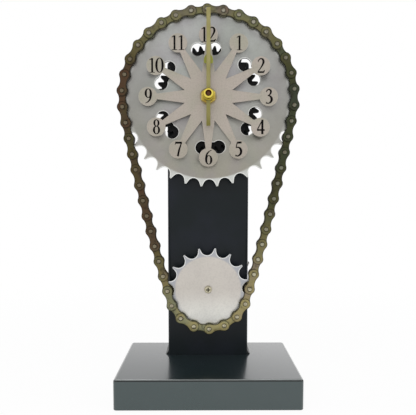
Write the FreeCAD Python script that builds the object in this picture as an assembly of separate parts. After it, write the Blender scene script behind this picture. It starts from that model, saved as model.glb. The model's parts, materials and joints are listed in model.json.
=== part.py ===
import FreeCAD, Part
import math
import os

os.makedirs("parts", exist_ok=True)
V = FreeCAD.Vector
UP = V(0, 0, 1)
BACK = V(0, 1, 0)
ASIDE = V(1, 0, 0)

# Frame: the origin is on the table under the middle of the base, +X is the viewer's
# right, +Y points away from the viewer and +Z up. Angles on the dial are in degrees,
# clockwise from twelve o'clock as the viewer sees them.

# Base: a folded sheet tray, open below, with turned-in lips that carry four felt pads
base_width = 140.6
base_depth = 96.6
base_wall_height = 23.0
base_sheet = 1.5
base_corner_radius = 2.6
base_bend_radius = 1.9
lip_width = 12.0
pad_thickness = 0.8
pad_radius = 4.6
pad_inset = 6.2

# Post: a U-shaped sheet channel welded on the base, open at the back
post_side_room = 4.2
post_from_rear = 9.8
post_sheet = 1.5
post_flange_depth = 28.0
post_above_hub = 31.8
post_bend_radius = 2.2
post_corner_radius = 2.5
post_rear_radius = 8.0
weld_reach = 2.4
weld_rise = 4.5

# Chain: half-inch bicycle roller chain in one closed loop
chain_pitch = 12.7
chain_links = 50
links_on_large = 10
links_on_small = 3
run_bow = 1.7
drive_turn = -0.7
roller_radius = 3.85
roller_length = 3.0
bush_radius = 2.5
pin_radius = 1.8
pin_half_length = 4.5
plate_end_radius = 4.3
plate_waist = 5.3
plate_thickness = 1.0
inner_plate_gap = 3.2
plate_play = 0.1

# Sprockets: flat laser-cut wheels with round roots and narrow tips
large_teeth = 34
small_teeth = 16
sprocket_thickness = 2.4
root_play = 0.55
large_tip_height = 1.6
small_tip_height = 1.8
tip_half_width = 0.55
flank_lean = math.radians(27)

# Heights and depths that place the works
hub_z = 236.7
chain_behind_front = 11.0

# Bone-shaped slots in the large sprocket
slot_count = 6
slot_turn = -2.6
slot_centre_radius = 38.8
slot_lobe_radius = 5.2
slot_lobe_offset = 6.8
slot_waist = 8.0

# Drive: toothed gear on the large sprocket, pinion on the gearmotor below it
gear_teeth = 45
pinion_teeth = 12
gear_module = 1.8
gear_thickness = 4.0
gear_turn = -0.7
gear_thinning = 0.16
pressure_angle = math.radians(25)
flank_shares = (0.3, 0.65, 1)
addendum_share = 0.9
dedendum_share = 1.25
pinion_side_play = 0.6
pinion_boss_radius = 4.4
pinion_boss_length = 2.6

# Clearances
running_play = 0.05
seat_play = 0.05
body_gap = 0.3
cut_overrun = 1.0

# Hub: a fixed sleeve on the post, and the flanged bush that turns on it
sleeve_radius = 8.0
sleeve_flange_radius = 12.0
sleeve_flange = 1.5
sleeve_spigot_radius = 7.0
hub_bush_radius = 11.0
hub_flange_radius = 17.0
hub_flange = 2.0
hub_screw_circle = 14.0
hub_screw_count = 3
hub_screw_radius = 1.4
hub_screw_head_radius = 2.6
hub_screw_head = 1.7

# Star dial: twelve tapered rays that end in number discs
hours = 12
dial_ahead_of_sprocket = 6.2
dial_sheet = 1.0
notch_radius = 19.4
disc_circle = 47.5
disc_radius = 7.4
ray_end_half_width = 2.15

# Clock movement behind the post, with its long threaded neck through the hub
cell_end_room = 0.85
movement_depth = 15.5
movement_corner = 3.0
movement_wall = 1.5
movement_front_wall = 0.9
gasket_thickness = 1.0
gasket_radius = 12.5
neck_radius = 3.9
neck_bore = 2.6
neck_flange_radius = 6.0
neck_flange = 1.3
neck_beyond_nut = 0.6
dial_washer_radius = 6.8
dial_washer = 0.5
dial_nut_flats = 10.8
dial_nut = 2.5
bay_wall = 1.0
bay_wall_below_hub = 10.9
bay_play = 0.2
works_above_hub = 26.5
works_side_play = 0.5
pillar_radius = 1.8
pillar_inset = 4.0
cover_thickness = 1.2
cover_play = 0.2

# Hands and their arbors
hour_pipe_radius = 2.52
hour_pipe_bore = 1.73
arbor_radius = 1.65
arbor_pivot_radius = 1.0
hand_sheet = 0.5
hour_collar_radius = 3.5
hour_collar = 1.8
hour_pipe_proud = 0.6
hour_hub_radius = 4.3
minute_gap = 1.6
minute_hub_radius = 4.3
minute_collar = 0.9
minute_collar_radius = 3.0
minute_reach = 65.1
minute_tail = 24.0
minute_half_width = 1.55
hour_stem_half_width = 1.4
hour_reach = 36.6
leaf_shoulder = 23.7
leaf_half_width = 3.6
hand_nut_length = 4.7
hand_nut_radius = 4.0
hand_nut_foot_radius = 4.5
hand_nut_foot = 1.0
arbor_short_of_nut = 1.5

# Motion work inside the movement: twelve to one from minute hand to hour hand
motion_centre = 12.5
minute_pinion_teeth = 12
motion_wheel_teeth = 36
motion_pinion_teeth = 10
hour_wheel_teeth = 40
wheel_thickness = 1.2
wheel_step = 0.7
clock_thinning = 0.05
motion_pin_radius = 0.8
motion_pin_proud = 1.1
setting_shaft_radius = 1.25
setting_knob_radius = 4.6
setting_knob = 4.0
setting_knob_flutes = 20
flute_radius = 0.45

# Cells of the usual finger size
cell_radius = 7.1
cell_body = 49.2
cell_cap_radius = 2.75
cell_cap = 1.3
contact_sheet = 0.4
contact_side = 8.0
contact_bump_radius = 2.0

# Circuit board and coil in the movement
board_from_hub = 12.5
board_height = 24.0
board_thickness = 0.8
board_side_gap = 1.0
board_below_hub = 7.0
board_standoff = 8.1
coil_radius = 2.6
coil_end_radius = 3.0
coil_length = 14.0
coil_end = 0.8

# Gearmotor with its clamp
gearbox_width = 12.0
gearbox_height = 10.0
gearbox_length = 9.0
gearbox_plate = 0.8
gearbox_core_share = 0.84
gearbox_boss_radius = 2.0
gearbox_boss = 1.0
motor_length = 15.0
motor_flats = 10.0
shaft_radius = 1.5
shaft_flat = 0.5
shaft_reach = 10.0
terminal_width = 0.6
terminal_height = 3.4
terminal_length = 2.4
terminal_offset = 3.5
clamp_wall = 1.6
clamp_depth = 8.0
clamp_ear = 4.6
clamp_ear_thickness = 2.5
clamp_ear_half_height = 4.0
clamp_screw_radius = 1.0
clamp_screw_head_radius = 1.9
clamp_screw_head = 1.2
shaft_window_radius = 3.2

# Battery holder for the motor, stuck on the post with foam tape
holder_z = 134.9
holder_wall = 1.2
holder_floor = 0.6
cell_play = 0.25
tape_thickness = 1.0
tape_inset = 2.5
holder_notch = 9.0
tag_width = 3.0
tag_rise = 2.5

# Slide switch in the right flange
switch_z = 100.9
switch_behind_front = 14.5
switch_length = 12.0
switch_height = 5.6
switch_body_depth = 5.0
switch_ear = 3.4
switch_ear_sheet = 0.6
switch_travel = 1.5
slider_length = 3.0
slider_height = 2.0
slider_foot = 1.0
slider_foot_length = 5.0
slider_proud = 2.2
slider_play = 0.15
tab_spacing = 2.5
tab_width = 1.4
tab_sheet = 0.5
tab_reach = 2.5
switch_screw_radius = 0.9
switch_screw_head_radius = 1.7
switch_screw_head = 1.0
switch_screw_length = 2.1

# Idler: the small sprocket turns on a shoulder screw with a spacer behind it
idler_shoulder_radius = 2.0
idler_thread_radius = 1.5
idler_head_radius = 3.0
idler_head = 2.0
idler_spacer_radius = 5.0
idler_washer_radius = 3.5
idler_washer = 0.5
idler_nut_flats = 5.5
idler_nut = 2.4
idler_thread_proud = 0.8

# Screw heads
head_round_share = 0.45
recess_width_share = 0.3
recess_length_share = 1.25
recess_depth_share = 0.6

# Wires
wire_radius = 0.65
wire_rise = 8.7
supply_x = 21.0
supply_behind_web = 9.5
supply_foot_z = 118.9
motor_wire_rise = 15.5
motor_wire_x = 22.0
motor_wire_behind_web = 19.0
motor_wire_z = 158.9
motor_wire_drop = 12.8
bend_share = 0.9

# Sizes and places worked out from the ones above: the movement is as wide as its cell or its
# wheels need, and the post as wide as the movement
cell_length = cell_body + cell_cap
motion_module = 2 * motion_centre / (minute_pinion_teeth + motion_wheel_teeth)
motion_tip_radius = motion_module * (motion_wheel_teeth / 2 + addendum_share)
bay_width = cell_length + 2 * (cell_end_room + contact_sheet)
works_width = 2 * (motion_centre + motion_tip_radius + works_side_play)
movement_side = max(bay_width, works_width) + 2 * movement_wall
post_width = movement_side + 2 * (post_side_room + post_sheet)
post_front_y = base_depth / 2 - post_from_rear - post_flange_depth
base_top_z = pad_thickness + base_wall_height
post_back_y = post_front_y + post_sheet
post_rear_y = post_front_y + post_flange_depth
post_top_z = hub_z + post_above_hub
chain_y = post_front_y - chain_behind_front
sprocket_front_y = chain_y - sprocket_thickness / 2
sprocket_back_y = chain_y + sprocket_thickness / 2
dial_back_y = sprocket_front_y - dial_ahead_of_sprocket
dial_front_y = dial_back_y - dial_sheet
gear_pitch_radius = gear_module * gear_teeth / 2
pinion_z = hub_z - gear_module * (gear_teeth + pinion_teeth) / 2


def turned(radius, degrees, height=0.0, y=0.0):
    """Point at a dial angle and radius about an axis at the given height."""
    a = math.radians(degrees)
    return V(radius * math.sin(a), y, height + radius * math.cos(a))


def rod(radius, y_front, y_back, x=0.0, z=0.0):
    """Round bar along Y."""
    return Part.makeCylinder(radius, y_back - y_front, V(x, y_front, z), BACK)


def block(x0, x1, y0, y1, z0, z1):
    """Box between two corners."""
    return Part.makeBox(x1 - x0, y1 - y0, z1 - z0, V(x0, y0, z0))


def plate(edges, y_front, y_back):
    """Flat piece from a closed outline drawn in the plane Y = 0."""
    face = Part.Face(Part.Wire(edges))
    face.translate(V(0, y_front, 0))
    return face.extrude(V(0, y_back - y_front, 0))


def line(a, b):
    return Part.LineSegment(a, b).toShape()


def arc(a, b, c):
    return Part.Arc(a, b, c).toShape()


def loop(points):
    """Closed outline of straight edges."""
    return [line(a, b) for a, b in zip(points, points[1:] + points[:1])]


def mirrored(shape):
    return shape.mirror(V(0, 0, 0), ASIDE)


def save(node, *shapes):
    """Write one node: a solid, or a group of separate solids."""
    solids = [s for shape in shapes for s in shape.Solids]
    result = solids[0] if len(solids) == 1 else Part.makeCompound(solids)
    result.exportStep("parts/" + node + ".step")
    print(node, len(solids), round(result.Volume, 1))


def edges_along(shape, direction):
    """Straight edges that run along a direction."""
    found = []
    for edge in shape.Edges:
        if len(edge.Vertexes) == 2 and isinstance(edge.Curve, Part.Line):
            run = (edge.Vertexes[1].Point - edge.Vertexes[0].Point).normalize()
            if abs(run.dot(direction)) > 0.999:
                found.append(edge)
    return found


def rounded_block(x0, x1, y0, y1, z0, z1, radius, direction):
    """Box with the four edges along one direction rounded."""
    box = block(x0, x1, y0, y1, z0, z1)
    return box.makeFillet(radius, edges_along(box, direction))


def pan_screw(position, direction, head_radius, head, shank_radius, length):
    """Pan-head screw with a cross recess; position is the seat of its head."""
    cap = Part.makeCylinder(head_radius, head, V(0, 0, -head))
    rim = [e for e in cap.Edges if isinstance(e.Curve, Part.Circle) and e.BoundBox.ZMax < -head / 2]
    cap = cap.makeFillet(head * head_round_share, rim)
    long, wide = head_radius * recess_length_share, head_radius * recess_width_share
    deep = head * recess_depth_share
    bar = block(-long / 2, long / 2, -wide / 2, wide / 2, -head - deep, -head + deep)
    cross = bar.fuse(block(-wide / 2, wide / 2, -long / 2, long / 2, -head - deep, -head + deep))
    screw = cap.cut(cross).fuse(Part.makeCylinder(shank_radius, length)).removeSplitter()
    screw.Placement = FreeCAD.Placement(position, FreeCAD.Rotation(UP, direction))
    return screw


def hexagon(flats, y_front, y_back, x=0.0, z=0.0):
    """Hexagonal prism along Y, a flat at the top."""
    corner_radius = flats / 2 / math.cos(math.radians(30))
    corners = [turned(corner_radius, 30 + 60 * k) + V(x, 0, z) for k in range(6)]
    return plate(loop(corners), y_front, y_back)


# Gears

def involute(angle):
    return math.tan(angle) - angle


def gear_outline(teeth, module, thinning, turn):
    """Involute teeth as short flats; turn is the dial angle of the first tooth."""
    pitch_radius = module * teeth / 2
    base_radius = pitch_radius * math.cos(pressure_angle)
    root = pitch_radius - dedendum_share * module
    tip = pitch_radius + addendum_share * module
    start = max(base_radius, root)
    half_at_pitch = math.pi / 2 / teeth - thinning / 2 / pitch_radius
    flank = [(root, start)] + [(start + (tip - start) * share,) * 2 for share in flank_shares]
    points = []
    for k in range(teeth):
        middle = turn + 360 * k / teeth
        side = []
        for radius, contact in flank:
            angle = math.acos(min(1, base_radius / contact))
            half = half_at_pitch + involute(pressure_angle) - involute(angle)
            side.append((radius, math.degrees(half)))
        points += [turned(r, middle - half) for r, half in side]
        points += [turned(r, middle + half) for r, half in reversed(side)]
    return loop(points)


def gear(teeth, module, thinning, turn, y_front, y_back, bore, x=0.0, z=0.0):
    wheel = plate(gear_outline(teeth, module, thinning, turn), y_front, y_back)
    wheel = wheel.cut(rod(bore, y_front - cut_overrun, y_back + cut_overrun))
    wheel.translate(V(x, 0, z))
    return wheel


# Base

def tray_shell(inset, height):
    """Block of the tray's outer or inner shape, rounded at its corners and top."""
    half_x, half_y = base_width / 2 - inset, base_depth / 2 - inset
    shell = rounded_block(-half_x, half_x, -half_y, half_y, pad_thickness, pad_thickness + height,
                          base_corner_radius - inset, UP)
    top = [e for e in shell.Edges if e.BoundBox.ZMin > pad_thickness + height / 2]
    return shell.makeFillet(base_bend_radius - inset, top)


inner_half_x = base_width / 2 - base_sheet
inner_half_y = base_depth / 2 - base_sheet
tray = tray_shell(0, base_wall_height).cut(tray_shell(base_sheet, base_wall_height - base_sheet))
lip_half_x = inner_half_x - base_corner_radius
for side in (-1, 1):
    y_wall, y_lip = side * (inner_half_y + base_sheet / 2), side * (inner_half_y - lip_width)
    tray = tray.fuse(block(-lip_half_x, lip_half_x, min(y_wall, y_lip), max(y_wall, y_lip),
                           pad_thickness, pad_thickness + base_sheet))
save("base_tray", tray.removeSplitter())

pad_x = lip_half_x - pad_inset
pad_y = inner_half_y - pad_inset
pads = [Part.makeCylinder(pad_radius, pad_thickness, V(i * pad_x, j * pad_y, 0))
        for i in (-1, 1) for j in (-1, 1)]
save("felt_pads", *pads)

# Chain path: both wheels hold the chain on pins that are turned a little from the middle, and the
# slack in the loop lets each free run bow outwards

large_pitch_radius = chain_pitch / 2 / math.sin(math.pi / large_teeth)
small_pitch_radius = chain_pitch / 2 / math.sin(math.pi / small_teeth)
free_links = chain_links // 2 - links_on_large - links_on_small
last_large = turned(large_pitch_radius, 360 * links_on_large / large_teeth)
first_small = turned(small_pitch_radius, 180 - 360 * links_on_small / small_teeth)
across = last_large.x - first_small.x
run_links = free_links * chain_pitch
# A run that bows spans a little less than its links, which sets the height between the axes
run_span = run_links - (8 * run_bow) ** 2 / 24 / run_links
centre_distance = math.sqrt(run_span ** 2 - across ** 2) + first_small.z - last_large.z
idler_z = hub_z - centre_distance
small_turn = drive_turn * large_teeth / small_teeth


def free_run(start, end):
    """Pins between two pins on equal links, each turned from the last by the same small angle.
    For n links turned by t the span is n pitches times 1 - (n * n - 1) * t * t / 24."""
    span = (end - start).Length
    turn = math.sqrt(24 * (1 - span / run_links) / (free_links ** 2 - 1))
    ahead = (end - start).normalize()
    outward = ahead.cross(BACK)
    pins = [start]
    for k in range(free_links - 1):
        lean = turn * ((free_links - 1) / 2 - k)
        pins.append(pins[-1] + (ahead * math.cos(lean) + outward * math.sin(lean)) * chain_pitch)
    return pins[1:]


def pin_centres():
    """All pin centres, clockwise from the one next to the top."""
    upper = [turned(large_pitch_radius, drive_turn + 360 * k / large_teeth, hub_z)
             for k in range(-links_on_large, links_on_large + 1)]
    lower = [turned(small_pitch_radius, small_turn + 180 - 360 * k / small_teeth, idler_z)
             for k in range(links_on_small, -links_on_small - 1, -1)]
    return (upper[links_on_large:] + free_run(upper[-1], lower[0]) + lower
            + free_run(lower[-1], upper[0]) + upper[:links_on_large])


pins = pin_centres()


def link_plate(hole_radius):
    """Waisted link plate, its first pin at the origin and its second along +X."""
    waist = plate_waist / 2
    waist_radius = ((chain_pitch / 2) ** 2 + waist ** 2 - plate_end_radius ** 2) / (
        2 * (plate_end_radius - waist))
    reach = plate_end_radius + waist_radius
    blend_x = chain_pitch / 2 * plate_end_radius / reach
    blend_z = (waist + waist_radius) * plate_end_radius / reach
    left_up, left_down = V(blend_x, 0, blend_z), V(blend_x, 0, -blend_z)
    right_up, right_down = V(chain_pitch - blend_x, 0, blend_z), V(chain_pitch - blend_x, 0, -blend_z)
    outline = [arc(left_down, V(-plate_end_radius, 0, 0), left_up),
               arc(left_up, V(chain_pitch / 2, 0, waist), right_up),
               arc(right_up, V(chain_pitch + plate_end_radius, 0, 0), right_down),
               arc(right_down, V(chain_pitch / 2, 0, -waist), left_down)]
    body = plate(outline, 0, plate_thickness)
    for x in (0, chain_pitch):
        body = body.cut(rod(hole_radius, -cut_overrun, plate_thickness + cut_overrun, x))
    return body


def laid(shape, k, y):
    """Copy of a link part from pin k towards the next pin, with its front at y."""
    here, there = pins[k], pins[(k + 1) % len(pins)]
    run = there - here
    angle = math.degrees(math.atan2(-run.z, run.x))
    copy = shape.copy()
    copy.Placement = FreeCAD.Placement(here + V(0, y, 0), FreeCAD.Rotation(BACK, angle))
    return copy


inner_face = inner_plate_gap / 2
outer_face = inner_face + plate_thickness + plate_play
outer_plate = link_plate(pin_radius + seat_play)
inner_plate = link_plate(bush_radius + seat_play)
outer_plates = [laid(outer_plate, k, chain_y + y) for k in range(0, chain_links, 2)
                for y in (-outer_face - plate_thickness, outer_face)]
inner_plates = [laid(inner_plate, k, chain_y + y) for k in range(1, chain_links, 2)
                for y in (-inner_face - plate_thickness, inner_face)]
save("chain_outer_plates", *outer_plates)
save("chain_inner_plates", *inner_plates)
save("chain_pins", *[rod(pin_radius, chain_y - pin_half_length, chain_y + pin_half_length, p.x, p.z)
                     for p in pins])


def chain_ring(outside, inside, length):
    ring = rod(outside, -length / 2, length / 2)
    ring = ring.cut(rod(inside, -length / 2 - cut_overrun, length / 2 + cut_overrun))
    rings = []
    for p in pins:
        copy = ring.copy()
        copy.Placement = FreeCAD.Placement(V(p.x, chain_y, p.z), FreeCAD.Rotation())
        rings.append(copy)
    return rings


bush_length = inner_plate_gap + 2 * plate_thickness
save("chain_bushes", *chain_ring(bush_radius, pin_radius + seat_play, bush_length))
save("chain_rollers", *chain_ring(roller_radius, bush_radius + seat_play, roller_length))

# Sprockets


def sprocket_outline(teeth, tip_height, first_turn):
    """Round roots joined by straight leaning flanks to narrow tips, the first root at a dial angle."""
    pitch_radius = chain_pitch / 2 / math.sin(math.pi / teeth)
    tip = pitch_radius + tip_height
    root = pitch_radius - roller_radius - root_play
    mouth = math.pi / teeth - math.asin(tip_half_width / tip)
    mouth_x, mouth_r = tip * math.sin(mouth), tip * math.cos(mouth)
    lean = math.sin(flank_lean)
    seat = (mouth_x * math.cos(flank_lean) - (mouth_r - root) * lean) / (1 - lean)
    touch_x, touch_r = seat * math.cos(flank_lean), root + seat - seat * lean
    edges = []
    for k in range(teeth):
        spin = FreeCAD.Rotation(BACK, first_turn + 360 * k / teeth)
        following = FreeCAD.Rotation(BACK, first_turn + 360 * (k + 1) / teeth)
        left, right = spin.multVec(V(-touch_x, 0, touch_r)), spin.multVec(V(touch_x, 0, touch_r))
        near_tip = spin.multVec(V(mouth_x, 0, mouth_r))
        far_tip = following.multVec(V(-mouth_x, 0, mouth_r))
        edges += [arc(left, spin.multVec(V(0, 0, root)), right), line(right, near_tip),
                  line(near_tip, far_tip), line(far_tip, following.multVec(V(-touch_x, 0, touch_r)))]
    return edges


def bone_slot():
    """Two round lobes joined by a narrower waist, centred on the origin."""
    waist = slot_waist / 2
    neck = slot_lobe_offset - math.sqrt(slot_lobe_radius ** 2 - waist ** 2)
    end = slot_lobe_offset + slot_lobe_radius
    outline = [arc(V(-neck, 0, -waist), V(-end, 0, 0), V(-neck, 0, waist)),
               line(V(-neck, 0, waist), V(neck, 0, waist)),
               arc(V(neck, 0, waist), V(end, 0, 0), V(neck, 0, -waist)),
               line(V(neck, 0, -waist), V(-neck, 0, -waist))]
    return plate(outline, sprocket_front_y - cut_overrun, sprocket_back_y + cut_overrun)


hub_screw_angles = [360 * k / hub_screw_count for k in range(hub_screw_count)]


def hub_screw_holes(y_front, y_back):
    """Cylinders that clear the hub screws, about the hub axis."""
    holes = []
    for angle in hub_screw_angles:
        p = turned(hub_screw_circle, angle)
        holes.append(rod(hub_screw_radius + seat_play, y_front, y_back, p.x, p.z))
    return holes


large = plate(sprocket_outline(large_teeth, large_tip_height, drive_turn), sprocket_front_y,
              sprocket_back_y)
large = large.cut(rod(hub_bush_radius + seat_play, sprocket_front_y - cut_overrun,
                      sprocket_back_y + cut_overrun))
for k in range(slot_count):
    angle = slot_turn + 360 * k / slot_count
    slot = bone_slot()
    slot.Placement = FreeCAD.Placement(turned(slot_centre_radius, angle), FreeCAD.Rotation(BACK, angle))
    large = large.cut(slot)
for hole in hub_screw_holes(sprocket_front_y - cut_overrun, sprocket_back_y + cut_overrun):
    large = large.cut(hole)
large.translate(V(0, 0, hub_z))
save("large_sprocket", large)

small = plate(sprocket_outline(small_teeth, small_tip_height, small_turn), sprocket_front_y,
              sprocket_back_y)
small = small.cut(rod(idler_shoulder_radius + running_play, sprocket_front_y - cut_overrun,
                      sprocket_back_y + cut_overrun))
small.translate(V(0, 0, idler_z))
save("small_sprocket", small)

# Drive gear and hub bush, which turn with the large sprocket

gear_back_y = sprocket_back_y + gear_thickness
drive_gear = gear(gear_teeth, gear_module, gear_thinning, gear_turn, sprocket_back_y, gear_back_y,
                  hub_bush_radius + seat_play)
for hole in hub_screw_holes(sprocket_back_y - cut_overrun, gear_back_y - body_gap):
    drive_gear = drive_gear.cut(hole)
drive_gear.translate(V(0, 0, hub_z))
save("drive_gear", drive_gear)

sleeve_back_y = post_front_y - sleeve_flange
hub_bush = rod(hub_bush_radius, dial_back_y + body_gap, sleeve_back_y - body_gap)
hub_bush = hub_bush.fuse(rod(hub_flange_radius, sprocket_front_y - hub_flange, sprocket_front_y))
hub_bush = hub_bush.cut(rod(sleeve_radius + running_play, dial_back_y, sleeve_back_y))
for hole in hub_screw_holes(sprocket_front_y - hub_flange - cut_overrun, sprocket_front_y + cut_overrun):
    hub_bush = hub_bush.cut(hole)
hub_bush.translate(V(0, 0, hub_z))
save("hub_bush", hub_bush)

hub_screw_length = hub_flange + sprocket_thickness + gear_thickness - 2 * body_gap
hub_screws = [pan_screw(turned(hub_screw_circle, angle, hub_z, sprocket_front_y - hub_flange), BACK,
                        hub_screw_head_radius, hub_screw_head, hub_screw_radius, hub_screw_length)
              for angle in hub_screw_angles]
save("hub_screws", *hub_screws)

# Fixed sleeve that carries the hub and spaces the dial from the post

sleeve = rod(sleeve_radius, dial_back_y, sleeve_back_y, 0, hub_z)
sleeve = sleeve.fuse(rod(sleeve_flange_radius, sleeve_back_y, post_front_y, 0, hub_z))
sleeve = sleeve.fuse(rod(sleeve_spigot_radius, sleeve_back_y, post_back_y, 0, hub_z))
sleeve = sleeve.cut(rod(neck_radius + seat_play, dial_back_y - cut_overrun, post_back_y + cut_overrun,
                        0, hub_z))
save("hub_sleeve", sleeve.removeSplitter())

# Star dial


def star_outline():
    """Notches between the rays, straight ray sides and a round disc at each hour."""
    half_step = 180 / hours
    disc_foot = disc_circle - math.sqrt(disc_radius ** 2 - ray_end_half_width ** 2)
    disc_top = disc_circle + disc_radius
    edges = []
    for k in range(hours):
        spin = FreeCAD.Rotation(BACK, 360 * k / hours)
        left_notch = turned(notch_radius, 360 * k / hours - half_step)
        right_notch = turned(notch_radius, 360 * k / hours + half_step)
        left_foot = spin.multVec(V(-ray_end_half_width, 0, disc_foot))
        right_foot = spin.multVec(V(ray_end_half_width, 0, disc_foot))
        edges += [line(left_notch, left_foot), arc(left_foot, spin.multVec(V(0, 0, disc_top)), right_foot),
                  line(right_foot, right_notch)]
    return edges


star = plate(star_outline(), dial_front_y, dial_back_y)
star = star.cut(rod(neck_radius + seat_play, dial_front_y - cut_overrun, dial_back_y + cut_overrun))
star.translate(V(0, 0, hub_z))
save("star_dial", star)

washer_front_y = dial_front_y - dial_washer
nut_front_y = washer_front_y - dial_nut
neck_front_y = nut_front_y - neck_beyond_nut
neck_clear = rod(neck_radius + seat_play, neck_front_y - cut_overrun, post_back_y, 0, hub_z)
save("dial_washer", rod(dial_washer_radius, washer_front_y, dial_front_y, 0, hub_z).cut(neck_clear))
save("dial_nut", hexagon(dial_nut_flats, nut_front_y, washer_front_y, 0, hub_z).cut(neck_clear))

# Clock movement: case, cover, neck and what is inside

movement_front_y = post_back_y + gasket_thickness
movement_back_y = movement_front_y + movement_depth
movement_inside_y = movement_front_y + movement_front_wall
cover_front_y = movement_back_y - cover_thickness
half_case = movement_side / 2
half_inside = half_case - movement_wall
bay_top_z = hub_z - bay_wall_below_hub - bay_wall
bay_bottom_z = bay_top_z - 2 * (cell_radius + bay_play)
works_bottom_z = hub_z - bay_wall_below_hub
works_top_z = hub_z + works_above_hub
case_top_z = works_top_z + movement_wall
through_front = movement_front_y - cut_overrun
motion_x = -motion_centre
setting_z = hub_z + motion_centre
board_x = board_from_hub
board_width = half_inside - board_side_gap - board_from_hub
board_bottom_z = hub_z - board_below_hub
board_front_y = movement_inside_y + board_standoff

hour_wheel_front_y = movement_inside_y + neck_flange + wheel_step
hour_wheel_back_y = hour_wheel_front_y + wheel_thickness
motion_front_y = hour_wheel_back_y + wheel_step
motion_back_y = motion_front_y + wheel_thickness

case = rounded_block(-half_case, half_case, movement_front_y, movement_back_y,
                     bay_bottom_z - movement_wall, case_top_z, movement_corner, BACK)
case = case.cut(block(-half_inside, half_inside, movement_inside_y, movement_back_y + cut_overrun,
                      works_bottom_z, works_top_z))
case = case.cut(block(-half_inside, half_inside, movement_inside_y, movement_back_y + cut_overrun,
                      bay_bottom_z, bay_top_z))
pillar_x = half_case - pillar_inset
for x in (-pillar_x, pillar_x):
    for z in (works_bottom_z + pillar_radius, case_top_z - pillar_inset):
        case = case.fuse(rod(pillar_radius, movement_inside_y, cover_front_y, x, z))
board_post_x = board_x + board_width / 2
for z in (board_bottom_z + pillar_radius, board_bottom_z + board_height - pillar_radius):
    case = case.fuse(rod(pillar_radius, movement_inside_y, board_front_y, board_post_x, z))
case = case.fuse(rod(motion_pin_radius, movement_inside_y, motion_back_y + motion_pin_proud,
                     motion_x, hub_z))
case = case.cut(rod(neck_radius + seat_play, through_front, movement_inside_y + cut_overrun, 0, hub_z))
save("movement_case", case.removeSplitter())

neck = rod(neck_radius, neck_front_y, movement_inside_y, 0, hub_z)
neck = neck.fuse(rod(neck_flange_radius, movement_inside_y, movement_inside_y + neck_flange, 0, hub_z))
neck = neck.cut(rod(neck_bore, neck_front_y - cut_overrun, movement_inside_y + neck_flange + cut_overrun,
                    0, hub_z))
save("threaded_neck", neck.removeSplitter())

gasket = rod(gasket_radius, post_back_y, movement_front_y, 0, hub_z)
save("movement_gasket", gasket.cut(rod(neck_radius + seat_play, post_front_y, movement_back_y, 0, hub_z)))

arbor_seat_y = cover_front_y - cover_thickness
cover = block(-half_inside + cover_play, half_inside - cover_play, cover_front_y, movement_back_y,
              works_bottom_z + cover_play, works_top_z - cover_play)
cover = cover.fuse(rod(2 * arbor_pivot_radius, arbor_seat_y, cover_front_y, 0, hub_z))
cover = cover.cut(rod(arbor_pivot_radius + running_play, arbor_seat_y - cut_overrun, cover_front_y,
                      0, hub_z))
cover = cover.cut(rod(setting_shaft_radius + running_play, arbor_seat_y, movement_back_y + cut_overrun,
                      motion_x, setting_z))
save("movement_cover", cover.removeSplitter())


def finger_cell(middle, direction):
    """Round cell with its cap, lying along a direction about its middle."""
    body = Part.makeCylinder(cell_radius, cell_body, V(0, 0, -(cell_body + cell_cap) / 2))
    rims = [e for e in body.Edges if isinstance(e.Curve, Part.Circle)]
    body = body.makeFillet(cell_cap / 2, rims)
    cap = Part.makeCylinder(cell_cap_radius, 2 * cell_cap, V(0, 0, (cell_body - 3 * cell_cap) / 2))
    cell = body.fuse(cap)
    cell.Placement = FreeCAD.Placement(middle, FreeCAD.Rotation(UP, direction))
    return cell


bay_cell_z = (bay_top_z + bay_bottom_z) / 2
bay_cell_y = movement_back_y - cell_play - cell_radius
save("movement_cell", finger_cell(V(0, bay_cell_y, bay_cell_z), ASIDE))

bay_contact = block(half_inside - contact_sheet, half_inside, bay_cell_y - contact_side / 2,
                    bay_cell_y + contact_side / 2, bay_cell_z - contact_side / 2,
                    bay_cell_z + contact_side / 2)
bump_length = half_inside - contact_sheet - cell_length / 2 - running_play
bay_contact = bay_contact.fuse(Part.makeCylinder(contact_bump_radius, bump_length + contact_sheet,
                                                 V(half_inside - contact_sheet - bump_length, bay_cell_y,
                                                   bay_cell_z), ASIDE))
save("movement_contacts", bay_contact, mirrored(bay_contact))

save("movement_board", block(board_x, board_x + board_width, board_front_y, board_front_y + board_thickness,
                             board_bottom_z, board_bottom_z + board_height))
coil_x = board_x + coil_end_radius
coil_y = board_front_y - coil_end_radius
coil_bottom_z = board_bottom_z + (board_height - coil_length) / 2
coil = Part.makeCylinder(coil_radius, coil_length, V(coil_x, coil_y, coil_bottom_z))
for z in (coil_bottom_z, coil_bottom_z + coil_length - coil_end):
    coil = coil.fuse(Part.makeCylinder(coil_end_radius, coil_end, V(coil_x, coil_y, z)))
save("movement_coil", coil.removeSplitter())

# Hands, arbors and motion work

hour_blade_back_y = neck_front_y - body_gap - hour_collar
hour_blade_front_y = hour_blade_back_y - hand_sheet
pipe_front_y = hour_blade_front_y - hour_pipe_proud
minute_blade_back_y = hour_blade_front_y - minute_gap
minute_blade_front_y = minute_blade_back_y - hand_sheet
hand_nut_front_y = minute_blade_front_y - hand_nut_length
arbor_front_y = hand_nut_front_y + arbor_short_of_nut

hour_module = 2 * motion_centre / (motion_pinion_teeth + hour_wheel_teeth)

# Dial angle of the line from the motion wheel to the hub axis, and of its line to the setting gear
to_hub = 90
to_setting = 0
# Every wheel meets its pinion with a tooth of the wheel in a gap of the pinion
hour_turn = to_hub - 180
motion_pinion_turn = to_hub + 180 / motion_pinion_teeth
motion_turn = to_hub
minute_pinion_turn = to_hub - 180 + 180 / minute_pinion_teeth
# The wheel's teeth fall on the line to the setting gear as well, a quarter of its teeth away
setting_turn = to_setting - 180 + 180 / minute_pinion_teeth

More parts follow.
